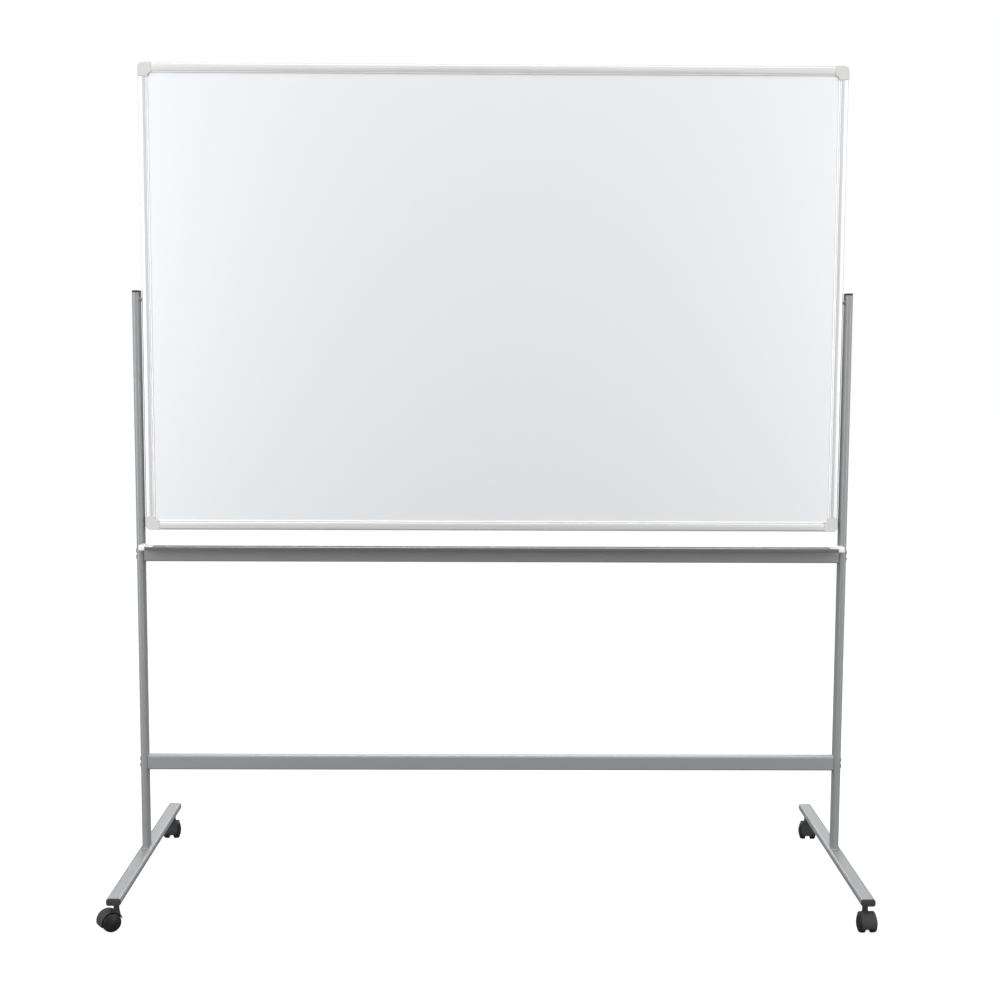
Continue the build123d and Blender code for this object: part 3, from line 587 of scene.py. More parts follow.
GREY_PAINT = Finish("grey_paint", (0.090, 0.090, 0.092), 0.30, metal=0.30, coat=0.35, coat_rough=0.16,
                    grain_scale=620, grain_height=0.010, rub=0.10, rub_colour=(0.19, 0.19, 0.19), dust=0.05)
ALUMINIUM_ACROSS = DrawnMetal("satin_aluminium_across", (0.86, 0.86, 0.86), 0.42, metal=0.55, rub=0.10,
                              rub_colour=(0.55, 0.55, 0.55), dust=0.10)
ALUMINIUM_UP = DrawnMetal("satin_aluminium_up", (0.86, 0.86, 0.86), 0.42, metal=0.55, rub=0.10,
                          rub_colour=(0.55, 0.55, 0.55), dust=0.10, stretch=(900.0, 900.0, 2.0))
TRAY_METAL = DrawnMetal("tray_aluminium", (0.17, 0.17, 0.17), 0.40, metal=0.5, rub=0.22,
                        rub_colour=(0.18, 0.18, 0.18), dust=0.06)
WHITE_ENAMEL = Enamel("white_enamel", (0.85, 0.865, 0.885), 0.07, coat=0.3, coat_rough=0.03)
CORE_BOARD = Finish("core_board", (0.36, 0.28, 0.19), 0.8, grain_scale=420, grain_height=0.12, drift=0.2)
GREY_PLASTIC = Finish("grey_plastic", (0.50, 0.50, 0.50), 0.42, grain_scale=1500, grain_height=0.012,
                      rub=0.18, rub_colour=(0.36, 0.36, 0.36), dust=0.08)
WHITE_PLASTIC = Finish("white_plastic", (0.78, 0.78, 0.76), 0.4, grain_scale=1400, grain_height=0.010,
                       rub=0.15, rub_colour=(0.6, 0.58, 0.55), dust=0.10)
BLACK_PLASTIC = Finish("black_plastic", (0.012, 0.012, 0.013), 0.36, grain_scale=1300, grain_height=0.018,
                       rub=0.30, rub_colour=(0.05, 0.05, 0.05), dust=0.05, dust_colour=(0.16, 0.15, 0.14),
                       shine=0.3)
BLACK_TREAD = Finish("black_tread", (0.013, 0.013, 0.014), 0.46, grain_scale=700, grain_height=0.022,
                     rub=0.5, rub_scale=110, rub_colour=(0.055, 0.053, 0.05), dust=0.06,
                     dust_colour=(0.16, 0.15, 0.14), shine=0.3)
BRIGHT_STEEL = DrawnMetal("steel", (0.62, 0.62, 0.61), 0.28, metal=1.0, rub=0.25,
                          rub_colour=(0.4, 0.4, 0.38), dust=0.1, stretch=(500.0, 500.0, 60.0))
DARK_STEEL = Finish("dark_steel", (0.07, 0.07, 0.072), 0.36, metal=0.8, grain_scale=800,
                    grain_height=0.012, rub=0.4, rub_colour=(0.35, 0.35, 0.34), dust=0.12)


@dataclass(frozen=True)
class Slot:
    """A material slot of the record with the finish that shows it."""

    name: str
    finish: Finish


GREY = Slot("grey_paint", GREY_PAINT)
ALUMINIUM_X = Slot("satin_aluminium", ALUMINIUM_ACROSS)
ALUMINIUM_Z = Slot("satin_aluminium", ALUMINIUM_UP)
TRAY_SLOT = Slot("satin_aluminium", TRAY_METAL)
ENAMEL = Slot("white_enamel", WHITE_ENAMEL)
CORE = Slot("core_board", CORE_BOARD)
GREY_MOULDED = Slot("grey_plastic", GREY_PLASTIC)
WHITE_MOULDED = Slot("white_plastic", WHITE_PLASTIC)
BLACK_MOULDED = Slot("black_plastic", BLACK_PLASTIC)
TREAD = Slot("black_plastic", BLACK_TREAD)
STEEL = Slot("steel", BRIGHT_STEEL)
STEEL_DARK = Slot("dark_steel", DARK_STEEL)


def finish_piece(piece: bpy.types.Object, slot: Slot, body: str, *nodes: str) -> None:
    """Dresses a new piece, hides the CAD nodes that it stands for, and lets it ride on its body.

    Args:
        piece: The new object.
        slot: Its material slot and finish.
        body: CAD body that it moves with.
        nodes: CAD nodes that it stands for.
    """
    piece.data.materials.append(slot.finish.material())
    if nodes:
        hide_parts(*nodes)
    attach(piece, body)
    LOG.info("%s: %d faces, rides on %s", piece.name, len(piece.data.polygons), body)


def keep_node(name: str, slot: Slot) -> None:
    """Leaves a CAD node's shape and gives it its finish."""
    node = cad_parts[name]
    node.data.materials.clear()
    node.data.materials.append(slot.finish.material())
    LOG.info("%s: kept, finish %s", name, slot.finish.name)


# ---------------------------------------------------------------- board

@dataclass
class Board:
    """Writing panel with its aluminium frame and plastic corners."""

    body: str = "board"
    face: float = 21 * MM
    half_depth: float = 9.05 * MM
    edge_flat: float = 5.2 * MM
    lip_depth: float = 6.6 * MM
    panel_half: float = 5.02 * MM
    groove: float = 7 * MM
    cap_edge: float = 1.0 * MM
    cap_corner: float = 11 * MM
    cap_end_corner: float = 1.6 * MM
    cap_overhang: float = 0.9 * MM
    web: float = 6 * MM
    joint_line: float = 0.25 * MM

    def rail_profile(self) -> np.ndarray:
        """Section of a rail: first axis inwards from the outer edge, second axis its depth.

        A rounded outline through the flat outer edge, the crowned faces, the rolled lips at the
        panel and the groove that holds the panel.
        """
        mm, half = MM, self.half_depth
        front = [(0, -self.edge_flat, 0.8 * mm), (2.6 * mm, -half + 0.5 * mm, 2.2 * mm),
                 (9.5 * mm, -half, 14 * mm), (17.3 * mm, -half + 0.55 * mm, 3 * mm),
                 (17.7 * mm, -half + 2.4 * mm, 0.2 * mm), (19.0 * mm, -half + 2.4 * mm, 0.2 * mm),
                 (19.3 * mm, -half + 1.3 * mm, 0.3 * mm),
                 (self.face, -self.lip_depth, 1.0 * mm), (self.face, -self.panel_half, 0.15 * mm),
                 (self.face - self.groove, -self.panel_half, 0)]
        back = [(x, -y, r) for x, y, r in reversed(front)]
        return rounded_outline(front + back, 5)

    def rails(self) -> None:
        """Builds the four rails by carrying the section from one corner cap to the next."""
        profile = self.rail_profile()
        for name, inward, along, slot in (("top_frame_rail", (0, 0, -1), 0, ALUMINIUM_X),
                                          ("bottom_frame_rail", (0, 0, 1), 0, ALUMINIUM_X),
                                          ("left_frame_rail", (1, 0, 0), 2, ALUMINIUM_Z),
                                          ("right_frame_rail", (-1, 0, 0), 2, ALUMINIUM_Z)):
            low, high = node_box(name)
            inward = np.array(inward, float)
            axis = np.eye(3)[along]
            outer = np.where(inward > 0, low, high) * np.abs(inward)
            depths = np.linspace(low[along], high[along], 9)
            rings = place(profile, inward, (0, 1, 0), axis, outer, depths)
            turned = np.cross(inward, (0, 1, 0)) @ axis < 0
            piece = Skin().add(rings, inside_out=turned).piece(f"{name}_extrusion", math.radians(24))
            finish_piece(piece, slot, self.body, name)

    def corners(self) -> None:
        """Builds the four corner caps: an L-shaped slab with a rounded web inside the corner."""
        for vertical in ("top", "bottom"):
            for horizontal in ("left", "right"):
                name = f"{vertical}_{horizontal}_corner_cap"
                low, high = node_box(name)
                self.corner(name, low, high, horizontal == "left", vertical == "top")

    def corner(self, name: str, low: np.ndarray, high: np.ndarray, at_left: bool, at_top: bool) -> None:
        """Builds one cap in the corner of its CAD node's box.

        Args:
            name: The CAD node.
            low: Lowest corner of its box.
            high: Highest corner of its box.
            at_left: Whether it is at the board's left.
            at_top: Whether it is at the board's top.
        """
        rail_low, rail_high = node_box("left_frame_rail")
        leg = (high[2] - rail_high[2] if at_top else rail_low[2] - low[2]) - self.joint_line
        width = self.face + self.cap_overhang
        end = self.cap_end_corner
        outline = rounded_outline([(0, 0, self.cap_corner), (leg, 0, end), (leg, width, end),
                                   (width, width, self.web), (width, leg, end), (0, leg, end)], 8)
        across = (1, 0, 0) if at_left else (-1, 0, 0)
        up = (0, 0, -1) if at_top else (0, 0, 1)
        origin = (low[0] if at_left else high[0], 0, high[2] if at_top else low[2])
        flat, depths = rounded_plate(outline, low[1], high[1], self.cap_edge)
        rings = place(flat, across, up, (0, 1, 0), origin, depths)
        turned = np.cross(across, up) @ np.array([0, 1.0, 0]) < 0
        piece = Skin().add(rings, inside_out=turned).piece(f"{name}_moulding")
        finish_piece(piece, GREY_MOULDED, self.body, name)

    def panel(self) -> None:
        """Dresses the core, the writing sheets and the pins."""
        keep_node("board_core", CORE)
        keep_node("front_writing_sheet", ENAMEL)
        keep_node("rear_writing_sheet", ENAMEL)
        for side in Side:
            keep_node(f"{side.word}_pivot_pin", STEEL)

    def build(self) -> None:
        """Builds and dresses the whole board."""
        self.rails()
        self.corners()
        self.panel()


# ---------------------------------------------------------------- stand

@dataclass
class Legs:
    """Posts with their tops and welds, foot rails with their plugs and sockets."""

    body: str = "stand"
    post_corner: float = 6.4 * MM
    weld: float = 3.0 * MM
    weld_waves: int = 46
    weld_least: float = 0.84
    weld_ripple: float = 0.13
    weld_hollow: float = 0.86
    weld_lift: float = 0.02 * MM
    plug_corner: float = 5 * MM
    plug_tongue: float = 1.75 * MM
    plug_dome: float = 2.4 * MM
    plug_flatness: float = 0.86

    def posts(self) -> None:
        """Dresses the posts and feet, and builds the welds between them."""
        for side in Side:
            keep_node(f"{side.word}_post", GREY)
            keep_node(f"{side.word}_foot_rail", GREY)
            self.post_weld(side)
            keep_node(f"{side.word}_pivot_bushing", BLACK_MOULDED)
            for end in End:
                self.plug(side, end)
                keep_node(f"{end.word}_{side.word}_caster_socket", BLACK_MOULDED)

    def post_weld(self, side: Side) -> None:
        """Builds the weld round a post's foot.

        The section is a quarter of a hollowed fillet; its size swells and shrinks with the sine
        of the place along the post's outline, which leaves the ripples of a hand-laid bead.

        Args:
            side: Which post.
        """
        name = f"{side.word}_post_weld"
        foot = node_box(name)[0][2]
        post_low, post_high = node_box(f"{side.word}_post")
        width, depth = (post_high - post_low)[:2]
        outline = rounded_rectangle(width, depth, self.post_corner, 40)
        edge = np.roll(outline, -1, 0) - np.roll(outline, 1, 0)
        outward = np.stack([edge[:, 1], -edge[:, 0]], 1) / np.linalg.norm(edge, axis=1, keepdims=True)
        share = np.arange(len(outline)) / len(outline)
        ripple = np.abs(np.sin(share * math.pi * self.weld_waves))
        size = self.weld * (self.weld_least + self.weld_ripple * ripple)
        angle = np.linspace(0, math.pi / 2, 7)
        reach = 1 - self.weld_hollow * np.sin(angle)
        height = 1 - self.weld_hollow * np.cos(angle)
        section = np.stack([np.append(reach, [-0.25, -0.25]), np.append(height, [1.0, 0.0])], 1)
        centre = (post_low + post_high)[:2] / 2
        flat = centre + outline[:, None] + outward[:, None] * (section[None, :, :1] * size[:, None, None])
        level = foot + section[None, :, 1:] * size[:, None, None]
        level = np.maximum(level, foot + self.weld_lift)
        rings = np.concatenate([flat, level], axis=2)
        piece = Skin().add(rings, closed_along=True).piece(f"{name}_bead", math.radians(60))
        finish_piece(piece, GREY, self.body, name)

    def plug(self, side: Side, end: End) -> None:
        """Builds a foot's end plug: a rounded tongue in the tube and a domed flange outside.

        Args:
            side: Which foot rail.
            end: Which end of it.
        """
        name = f"{end.word}_{side.word}_foot_plug"
        low, high = node_box(name)
        size = high - low
        outline = rounded_rectangle(size[0], size[2], self.plug_corner, 8)
        rail_end = node_box(f"{side.word}_foot_rail")[0 if end is End.FRONT else 1][1]
        outer, inner = end.outer_first(low[1], high[1])
        angle = np.linspace(0, math.pi / 2, 7)
        insets = np.concatenate([[self.plug_tongue, self.plug_tongue, 0.0],
                                 self.plug_dome * (1 - np.cos(angle)), [self.plug_corner]])
        distance = abs(outer - rail_end)
        crown = distance + self.plug_dome * (np.sin(angle) * self.plug_flatness - 1)
        depths = np.concatenate([[-abs(inner - rail_end), 0, 0], crown, [distance]])
        rings = place(inset(outline, insets), (1, 0, 0), (0, 0, 1), (0, end.value, 0),
                      ((low[0] + high[0]) / 2, rail_end, (low[2] + high[2]) / 2), depths)
        piece = Skin().add(rings, inside_out=end is End.REAR).piece(f"{name}_moulding")
        finish_piece(piece, BLACK_MOULDED, self.body, name)


@dataclass
class Braces:
    """Two crossbars with their inserts and bolts."""

    body: str = "stand"
    shaft: float = 4 * MM
    head: float = 6.2 * MM
    head_rim: float = 3.6 * MM
    head_height: float = 3.6 * MM
    spacing: float = 14 * MM
    socket: float = 2.9 * MM
    socket_depth: float = 2.0 * MM

    def build(self) -> None:
        """Dresses the bars and builds the bolt heads."""
        for level in ("lower", "upper"):
            keep_node(f"{level}_crossbar", GREY)
            keep_node(f"{level}_crossbar_inserts", STEEL)
        for side in Side:
            self.bolts(side)

    def bolts(self, side: Side) -> None:
        """Builds the button heads and shafts of one side's four bolts.

        A head is a lathe profile whose inner rings become a hexagon: at an angle t the socket's
        radius is its across-corner radius times cos(30 deg) over cos of t's distance from the
        middle of its flat.

        Args:
            side: Which side of the stand.
        """
        name = f"{side.word}_crossbar_bolts"
        low, high = node_box(name)
        outer, inner = side.outer_first(low[0], high[0])
        heights = []
        for level in ("lower", "upper"):
            bar_low, bar_high = node_box(f"{level}_crossbar")
            middle = (bar_low[2] + bar_high[2]) / 2
            heights += [middle - self.spacing / 2, middle + self.spacing / 2]
        skin = Skin()
        turn = np.linspace(0, 2 * math.pi, 48, endpoint=False)
        sector = np.abs((turn + math.pi / 6) % (math.pi / 3) - math.pi / 6)
        hexagon = self.socket * math.cos(math.pi / 6) / np.cos(sector)
        dome = np.linspace(0, math.pi / 2 * 0.82, 7)
        rise = self.head_height * np.sin(dome) / np.sin(dome[-1])
        fall = (1 - np.cos(dome)) / (1 - np.cos(dome[-1]))
        radius = np.concatenate([[self.shaft, self.shaft, self.head],
                                 self.head - (self.head - self.head_rim) * fall])
        circle = np.stack([np.cos(turn), np.sin(turn)], 1)
        socket = hexagon[:, None] * circle
        flat = np.concatenate([radius[:, None, None] * circle,
                               np.stack([socket * share for share in (1.06, 1.0, 0.5)])])
        top = rise[-1]
        floor = top - self.socket_depth
        depths = np.concatenate([[-abs(outer - inner) + self.head_height, 0, 0], rise,
                                 [top - 0.05 * MM, floor, floor - 0.5 * MM]])
        for height in heights:
            origin = (outer - side.value * self.head_height, 0, height)
            rings = place(flat, (0, 1, 0), (0, 0, 1), (side.value, 0, 0), origin, depths)
            skin.add(rings, inside_out=side is Side.LEFT)
        piece = skin.piece(f"{name}_turned")
        finish_piece(piece, STEEL_DARK, self.body, name)


@dataclass
class PenTray:
    """Pen tray with its lip, end caps and screws."""

    body: str = "stand"
    floor: float = 1.6 * MM
    lip: float = 2.4 * MM
    ridge_y: float = -11 * MM
    ridge: float = 1.6 * MM
    cap_edge: float = 0.9 * MM
    tongue_edge: float = 0.3 * MM
    screw_head: float = 3.7 * MM
    screw_rise: float = 1.2 * MM
    screw_steps: int = 40

    def tray(self) -> None:
        """Builds the tray by carrying its section along X.

        The section runs under the lip and the floor to the back edge, forward over the pen
        stop's ridge to the lip's root, and up and over the rounded lip.
        """
        low, high = node_box("pen_tray")
        deck = node_box("upper_crossbar")[1][2]
        front, back, top, bottom = low[1], high[1], high[2], low[2]
        upper = deck + self.floor
        ridge, crest, mm = self.ridge_y, upper + self.ridge, MM
        section = rounded_outline([
            (front, bottom, 1.0 * mm), (front + 4.5 * mm, bottom, 0.6 * mm),
            (front + 6.5 * mm, deck, 0.8 * mm), (back, deck, 0.5 * mm), (back, upper, 0.5 * mm),
            (ridge + 2.6 * mm, upper, 0.8 * mm), (ridge + 0.9 * mm, crest, 0.6 * mm),
            (ridge - 0.9 * mm, crest, 0.6 * mm), (ridge - 2.6 * mm, upper, 0.8 * mm),
            (front + 6.0 * mm, upper, 1.6 * mm), (front + self.lip, top - 1.2 * mm, 1.0 * mm),
            (front + self.lip - 0.4 * mm, top, 0.8 * mm), (front + 0.2 * mm, top, 0.9 * mm)], 5)
        depths = np.linspace(low[0], high[0], 13)
        rings = place(section, (0, 1, 0), (0, 0, 1), (1, 0, 0), (0, 0, 0), depths)
        piece = Skin().add(rings).piece("pen_tray_extrusion", math.radians(28))
        finish_piece(piece, TRAY_SLOT, self.body, "pen_tray")

    def end_cap(self, side: Side) -> None:
        """Builds an end cap: a rounded cheek closing the tray's end, with its tongue on the floor.

        Args:
            side: Which end of the tray.
        """
        name = f"{side.word}_tray_end_cap"
        low, high = node_box(name)
        tray_end = node_box("pen_tray")[0 if side is Side.LEFT else 1][0]
        outer, inner = side.outer_first(low[0], high[0])
        front, back, bottom, top, mm = low[1], high[1], low[2], high[2], MM
        cheek = rounded_outline([(front, bottom, 2.2 * mm), (back, bottom, 1.4 * mm),
                                 (back, top - 3.5 * mm, 2.5 * mm), (back - 5 * mm, top, 4 * mm),
                                 (front, top, 3.2 * mm)], 7)
        under = node_box("upper_crossbar")[1][2] + self.floor + 0.05 * mm
        over, start, stop = under + 2.15 * mm, front + 9 * mm, self.ridge_y - 4 * mm
        tongue = rounded_outline([(start, under, 0.75 * mm), (stop, under, 0.75 * mm),
                                  (stop, over, 0.95 * mm), (start, over, 0.95 * mm)], 4)
        tray_end, outer, inner = (x * side.value for x in (tray_end, outer, inner))
        skin = Skin()
        for outline, near, far, edge in ((cheek, *sorted((outer, tray_end)), self.cap_edge),
                                         (tongue, inner, tray_end + 2 * mm, self.tongue_edge)):
            flat, depths = rounded_plate(outline, near, far, edge)
            rings = place(flat, (0, 1, 0), (0, 0, 1), (side.value, 0, 0), (0, 0, 0), depths)
            skin.add(rings, inside_out=side is Side.LEFT)
        finish_piece(skin.piece(f"{name}_moulding"), WHITE_MOULDED, self.body, name)

    def screws(self) -> None:
        """Builds the tray's pan-head screws with a crossed recess.

        The recess is a dip in the head's height: deep where either axis of the head is closer to
        its middle than half the cross's width and the point is nearer than the cross's reach.
        """
        low, high = node_box("tray_screws")
        floor_top = high[2] - self.screw_rise
        reach = high[0] - self.screw_head
        skin = Skin()
        turn = np.linspace(0, 2 * math.pi, self.screw_steps, endpoint=False)
        circle = np.stack([np.cos(turn), np.sin(turn)], 1)
        radius = np.array([1.75, 1.75, 3.7, 3.7, 3.55, 3.2, 2.6, 2.2, 1.8, 1.4, 1.0, 0.6, 0.2]) * MM
        height = np.array([0, 0, 0, 0.35, 0.75, 1.0, 1.13, 1.16, 1.18, 1.19, 1.2, 1.2, 1.2]) * MM
        height[0] = low[2] - floor_top
        flat = radius[:, None, None] * circle
        half_cross = np.minimum(np.abs(flat[..., 0]), np.abs(flat[..., 1]))
        on_top = np.arange(len(radius))[:, None] > 5
        dip = (half_cross < 0.42 * MM) & (radius[:, None] < 2.3 * MM) & on_top
        level = height[:, None] - np.where(dip, 0.7 * MM, 0.0)
        for x in (-reach, -0.38, 0.0, 0.38, reach):
            rings = np.concatenate([flat + [x, 0.0], (level + floor_top)[..., None]], axis=2)
            skin.add(rings)
        finish_piece(skin.piece("tray_screws_turned"), STEEL, self.body, "tray_screws")

    def build(self) -> None:
        """Builds the tray, both end caps and the screws."""
        self.tray()
        for side in Side:
            self.end_cap(side)
        self.screws()


# ---------------------------------------------------------------- casters

@dataclass
class Caster:
    """Twin-wheel swivel caster: hood with web and boss, stem, axle and two wheels."""

    key: str
    wheel_radius: float = 20 * MM
    tread: float = 12.1 * MM
    turn_over: float = 5.4 * MM
    round_down: float = 2.3 * MM
    gap: float = 6.3 * MM
    dome_tip: float = 21.6 * MM
    hood_inner: float = 21.3 * MM
    hood_wall: float = 2.4 * MM
    hood_half: float = 15.5 * MM
    hood_from: float = math.radians(-75)
    hood_to: float = math.radians(109)
    lip_drop: float = 0.55 * MM
    lip_width: float = 2.2 * MM
    web_half: float = 5.7 * MM
    web_toe: float = 3.2 * MM
    web_edge: float = 0.8 * MM
    boss_from: float = 26 * MM
    boss_top: float = 52 * MM
    neck: float = 6.0 * MM
    neck_flare: float = 2.6 * MM
    stem_radius: float = 4.95 * MM
    collar_radius: float = 6.0 * MM

    def __post_init__(self) -> None:
        """Finds the swivel axis, the axle's middle and its direction from the CAD nodes."""
        socket_low, socket_high = node_box(f"{self.key}_caster_socket")
        self.swivel = (socket_low + socket_high) / 2 * [1, 1, 0]
        left, right = (sum(node_box(f"{self.key}_caster_{s.word}_wheel")) / 2 for s in Side)
        self.centre = (left + right) / 2
        self.backward = self.centre * [1, 1, 0] - self.swivel
        self.backward /= np.linalg.norm(self.backward)
        self.across = np.cross((0, 0, 1), self.backward)
        self.left_handed = bool(self.across @ (right - left) > 0)
        if not self.left_handed:
            self.across = -self.across

    def on_arc(self, angle: np.ndarray, radius: np.ndarray, offset: np.ndarray) -> np.ndarray:
        """Points round the axle: centre + r (sin a backward + cos a up) + offset across."""
        angle, radius, offset = np.broadcast_arrays(angle, radius, offset)
        return (self.centre + (radius * np.sin(angle))[..., None] * self.backward
                + (radius * np.cos(angle))[..., None] * np.array([0, 0, 1.0])
                + offset[..., None] * self.across)

    def hood(self) -> None:
        """Builds the hood, the web between the wheels and the boss under the stem.

        The hood is a rounded section carried round the axle by an angle, pinched at both ends;
        the web is a fan of rings from the axle up to the hood; the boss is a lathe whose radius
        falls from the hood to the stem collar along a cosine.
        """
        skin = Skin()
        section = rounded_rectangle(self.hood_half * 2, self.hood_wall, 1.1 * MM, 6)
        from_lip = np.abs(section[:, 0]) - self.hood_half + self.lip_width
        crown = -self.lip_drop * np.clip(from_lip / self.lip_width, 0, 1) ** 2 * (section[:, 1] > 0)
        ease = np.linspace(-1, 1, 49)
        angle = self.hood_from + (self.hood_to - self.hood_from) * (ease + 1) / 2
        end = np.clip((1 - np.abs(ease)) / 0.03, 0, 1)
        pinch = 0.55 + 0.45 * np.sqrt(1 - (1 - end) ** 2)
        wall_middle = self.hood_inner + self.hood_wall / 2
        radius = wall_middle + (section[None, :, 1] + crown[None, :]) * pinch[:, None]
        offset = section[None, :, 0] * (0.93 + 0.07 * pinch[:, None])
        skin.add(self.on_arc(angle[:, None], radius, offset), inside_out=self.left_handed)
        fan = np.linspace(self.hood_from + 0.03, self.hood_to - 0.03, 41)
        toe, outer = self.web_toe, self.hood_inner + 0.6 * MM
        spoke = np.array([toe + self.web_edge, outer, outer, toe + self.web_edge, toe, toe])
        aside = np.array([-1, -1, 1, 1, 0.86, -0.86]) * self.web_half
        skin.add(self.on_arc(fan[:, None], spoke, aside), inside_out=not self.left_handed)
        height = np.linspace(self.boss_from, self.boss_top, 14)
        share = (height - height[0]) / (height[-1] - height[0])
        flare = 0.5 + 0.5 * np.cos(math.pi * np.clip(share * 1.25, 0, 1))
        profile = np.stack([np.append(height, [self.boss_top] * 2),
                            np.append(self.neck + self.neck_flare * flare, [5.4 * MM, 5.05 * MM])], 1)
        skin.add(lathe(profile, self.swivel, (0, 0, 1), 48).transpose(1, 0, 2))
        piece = skin.piece(f"{self.key}_caster_hood", math.radians(40))
        finish_piece(piece, BLACK_MOULDED, f"{self.key}_caster", f"{self.key}_caster_body")

    def wheel(self, side: Side) -> None:
        """Builds one wheel as a lathe: crowned tread, rounded shoulder, domed face, hollow inside.

        Args:
            side: Which wheel of the pair, as the CAD names it.
        """
        name = f"{self.key}_caster_{side.word}_wheel"
        r, mm = self.wheel_radius, MM
        shoulder = np.linspace(0, math.pi / 2, 9)
        dome = np.linspace(0, 1, 10)
        bulge = self.dome_tip - self.tread - self.turn_over
        outer = np.concatenate([
            np.stack([np.linspace(self.gap + 0.9 * mm, self.tread, 5),
                      r - 0.06 * mm * np.linspace(-1, 1, 5) ** 2], 1),
            np.stack([self.tread + self.turn_over * np.sin(shoulder[1:]),
                      r - self.round_down * (1 - np.cos(shoulder[1:]))], 1),
            np.stack([self.tread + self.turn_over + bulge * np.sin(dome[1:] * math.pi / 2),
                      (r - self.round_down) * (1 - dome[1:] * 0.985)], 1)])
        inner = np.array([(17.0, 0.4), (17.0, 3.1), (6.3, 3.1), (6.3, 5.6), (6.7, 6.0),
                          (13.6, 6.3), (13.8, 6.6), (13.8, 16.0), (13.5, 16.3), (6.7, 16.6),
                          (6.3, 17.0), (6.3, 19.1), (6.5, 19.7)]) * mm
        profile = np.concatenate([outer, inner])
        rings = lathe(profile, self.centre, self.across * side.value, 72)
        skin = Skin().add(rings, closed_along=True, caps=False)
        piece = skin.piece(f"{name}_moulded", math.radians(38))
        self.face_outwards(piece)
        finish_piece(piece, TREAD, f"{self.key}_{side.word}_wheel", name)

    @staticmethod
    def face_outwards(piece: bpy.types.Object) -> None:
        """Turns the faces over if the closed mesh has a negative volume."""
        mesh = piece.data
        mesh.calc_loop_triangles()
        corners = np.empty(len(mesh.loop_triangles) * 3, np.int32)
        mesh.loop_triangles.foreach_get("vertices", corners)
        points = np.empty(len(mesh.vertices) * 3)
        mesh.vertices.foreach_get("co", points)
        a, b, c = points.reshape(-1, 3)[corners.reshape(-1, 3)].transpose(1, 0, 2)
        middle = points.reshape(-1, 3).mean(0)
        if np.einsum("ij,ij->i", a - middle, np.cross(b - middle, c - middle)).sum() < 0:
            mesh.flip_normals()

    def stem(self) -> None:
        """Builds the stem and its pressed collar as one turned piece."""
        name = f"{self.key}_caster_stem"
        (_, _, low), (_, _, high) = node_box(name)
        top, mm = self.boss_top, MM
        profile = np.array([(low + 0.01 * mm, 0.3 * mm), (low, 4.2 * mm), (low + 0.8 * mm, 4.9 * mm),
                            (top, self.stem_radius), (top + 0.02 * mm, 5.7 * mm),
                            (top + 0.4 * mm, self.collar_radius), (top + 3.3 * mm, self.collar_radius),
                            (top + 3.85 * mm, 5.6 * mm), (top + 3.9 * mm, self.stem_radius),
                            (high - 1.2 * mm, self.stem_radius), (high - 0.2 * mm, 4.1 * mm),
                            (high, 0.3 * mm)])
        rings = lathe(profile, self.swivel, (0, 0, 1), 48).transpose(1, 0, 2)
        piece = Skin().add(rings).piece(f"{name}_turned", math.radians(30))
        self.face_outwards(piece)
        finish_piece(piece, STEEL, f"{self.key}_caster", name)

    def build(self) -> None:
        """Builds and dresses the whole caster."""
        self.hood()
        self.stem()
        keep_node(f"{self.key}_caster_axle", STEEL)
        for side in Side:
            self.wheel(side)


# ---------------------------------------------------------------- studio

@dataclass(frozen=True)
class SoftBox:
    """A rectangular soft light."""

    name: str
    place: tuple[float, float, float]
    aim: tuple[float, float, float]
    size: tuple[float, float]
    power: float

    def build(self) -> None:
        """Makes the light and points it at its aim."""
        data = bpy.data.lights.new(self.name, "AREA")
        data.shape = "RECTANGLE"
        data.size, data.size_y = self.size
        data.energy = self.power
        lamp = bpy.data.objects.new(self.name, data)
        lamp.location = self.place
        lamp.rotation_euler = (Vector(self.aim) - Vector(self.place)).to_track_quat("-Z", "Y").to_euler()
        bpy.context.scene.collection.objects.link(lamp)


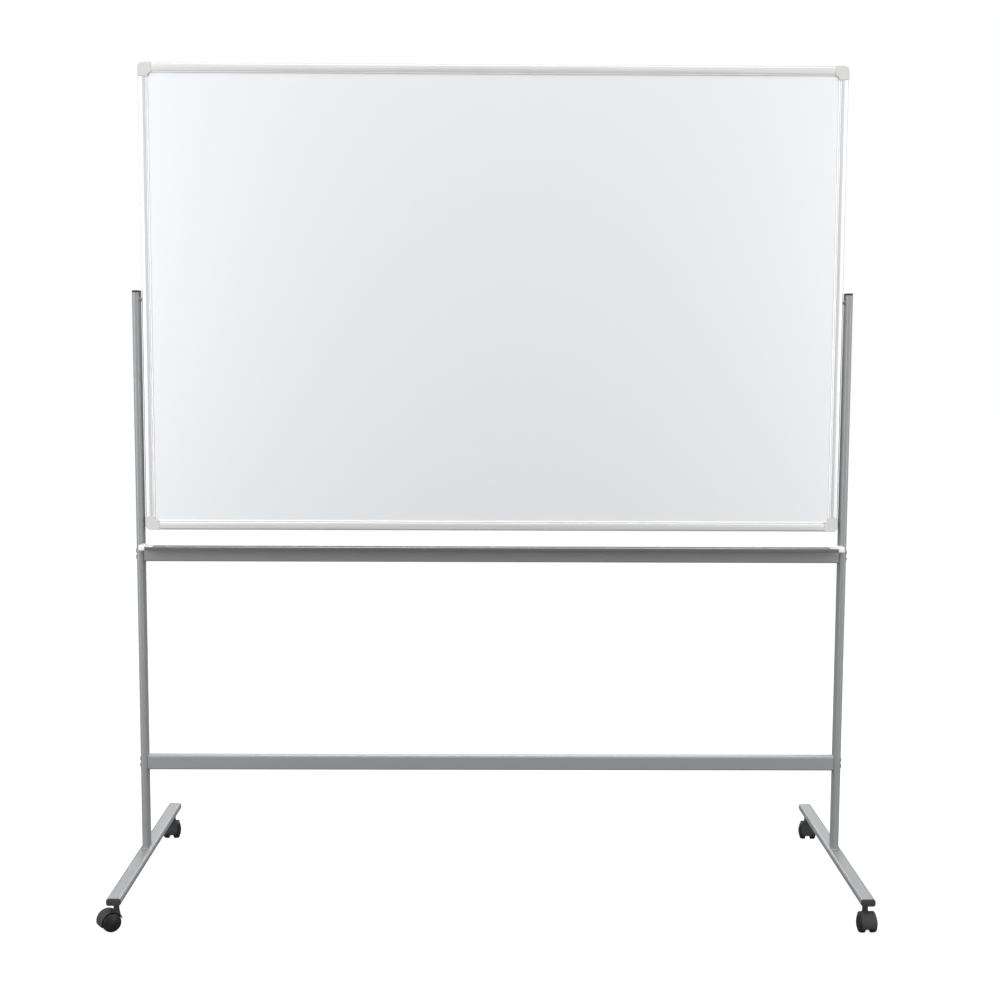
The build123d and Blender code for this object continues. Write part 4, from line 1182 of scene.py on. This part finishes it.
@dataclass
class Studio:
    """Floor, lights, surroundings and camera."""

    lens: float = 59.4
    sensor: float = 36.0
    camera_place: tuple[float, float, float] = (-0.0172, -3.6175, 1.2464)
    pitch: float = 0.1062
    yaw: float = -0.0094
    roll: float = 0.0043
    floor_half: float = 14.0
    floor_gap: float = 0.4 * MM
    floor_tone: float = 0.18
    floor_glow: float = 0.9
    room_low: float = 0.10
    room_high: float = 0.75
    boxes: tuple[SoftBox, ...] = (
        SoftBox("left_soft_box", (-2.9, -2.7, 1.45), (0, 0, 1.0), (1.5, 2.6), 72),
        SoftBox("right_soft_box", (2.9, -2.7, 1.45), (0, 0, 1.0), (1.5, 2.6), 60),
        SoftBox("overhead_soft_box", (0.0, -1.6, 4.1), (0, 0, 0.9), (3.2, 1.6), 38),
        SoftBox("left_edge_soft_box", (-3.4, 0.6, 1.6), (0, 0, 1.2), (0.9, 2.6), 16),
        SoftBox("right_edge_soft_box", (3.4, 0.6, 1.6), (0, 0, 1.2), (0.9, 2.6), 14),
        SoftBox("rear_soft_box", (0.0, 3.2, 2.6), (0, 0, 1.4), (3.0, 2.0), 84),
    )

    def floor(self) -> None:
        """Makes the pale flat floor, a hair under the wheels."""
        steps = np.linspace(-self.floor_half, self.floor_half, 25)
        x, y = np.meshgrid(steps, steps)
        points = np.stack([x, y, np.full_like(x, -self.floor_gap)], axis=2)
        floor = Skin().add(points, round_the_rings=False, caps=False).piece("studio_floor")
        material = bpy.data.materials.new("pale_floor")
        material.use_nodes = True
        wires = Wiring(material.node_tree)
        shader = material.node_tree.nodes["Principled BSDF"]
        shader.inputs["Base Color"].default_value = (*[self.floor_tone] * 3, 1)
        shader.inputs["Roughness"].default_value = 0.9
        shader.inputs["Emission Color"].default_value = (1, 1, 1, 1)
        path = wires.node("ShaderNodeLightPath")
        glow = wires.math("MULTIPLY", path.outputs["Is Camera Ray"], self.floor_glow)
        wires.link(glow, shader.inputs["Emission Strength"])
        floor.data.materials.append(material)

    def surroundings(self) -> None:
        """White backdrop to the camera, a dimmer room to everything else."""
        world = bpy.data.worlds.new("studio_world")
        world.use_nodes = True
        wires = Wiring(world.node_tree)
        back = world.node_tree.nodes["Background"]
        path = wires.node("ShaderNodeLightPath")
        ways = wires.node("ShaderNodeTexCoord")
        parts = wires.node("ShaderNodeSeparateXYZ")
        wires.link(ways.outputs["Generated"], parts.inputs[0])
        room = wires.span(parts.outputs["Z"], -0.1, 0.9, self.room_low, self.room_high)
        seen = path.outputs["Is Camera Ray"]
        hidden = wires.math("MULTIPLY", room, wires.math("SUBTRACT", 1.0, seen))
        wires.link(wires.math("ADD", seen, hidden), back.inputs["Strength"])
        back.inputs["Color"].default_value = (1, 1, 1, 1)
        bpy.context.scene.world = world

    def camera(self) -> None:
        """Sets up the camera at eye height in front of the board."""
        data = bpy.data.cameras.new("studio_camera")
        data.lens, data.sensor_width = self.lens, self.sensor
        made = bpy.data.objects.new("studio_camera", data)
        turn = (Matrix.Rotation(self.yaw, 4, "Z") @ Matrix.Rotation(math.pi / 2 - self.pitch, 4, "X")
                @ Matrix.Rotation(self.roll, 4, "Z"))
        made.matrix_world = Matrix.Translation(self.camera_place) @ turn
        bpy.context.scene.collection.objects.link(made)
        bpy.context.scene.camera = made

    def build(self) -> None:
        """Builds the whole studio."""
        bpy.context.scene.view_settings.view_transform = "Standard"
        self.floor()
        for box in self.boxes:
            box.build()
        self.surroundings()
        self.camera()


def main() -> None:
    """Builds every sub-assembly in order."""
    logging.basicConfig(level=logging.INFO, format="%(message)s")
    Board().build()
    Legs().posts()
    Braces().build()
    PenTray().build()
    for end in End:
        for side in Side:
            Caster(f"{end.word}_{side.word}").build()
    Studio().build()


if __name__ == "__main__":
    main()
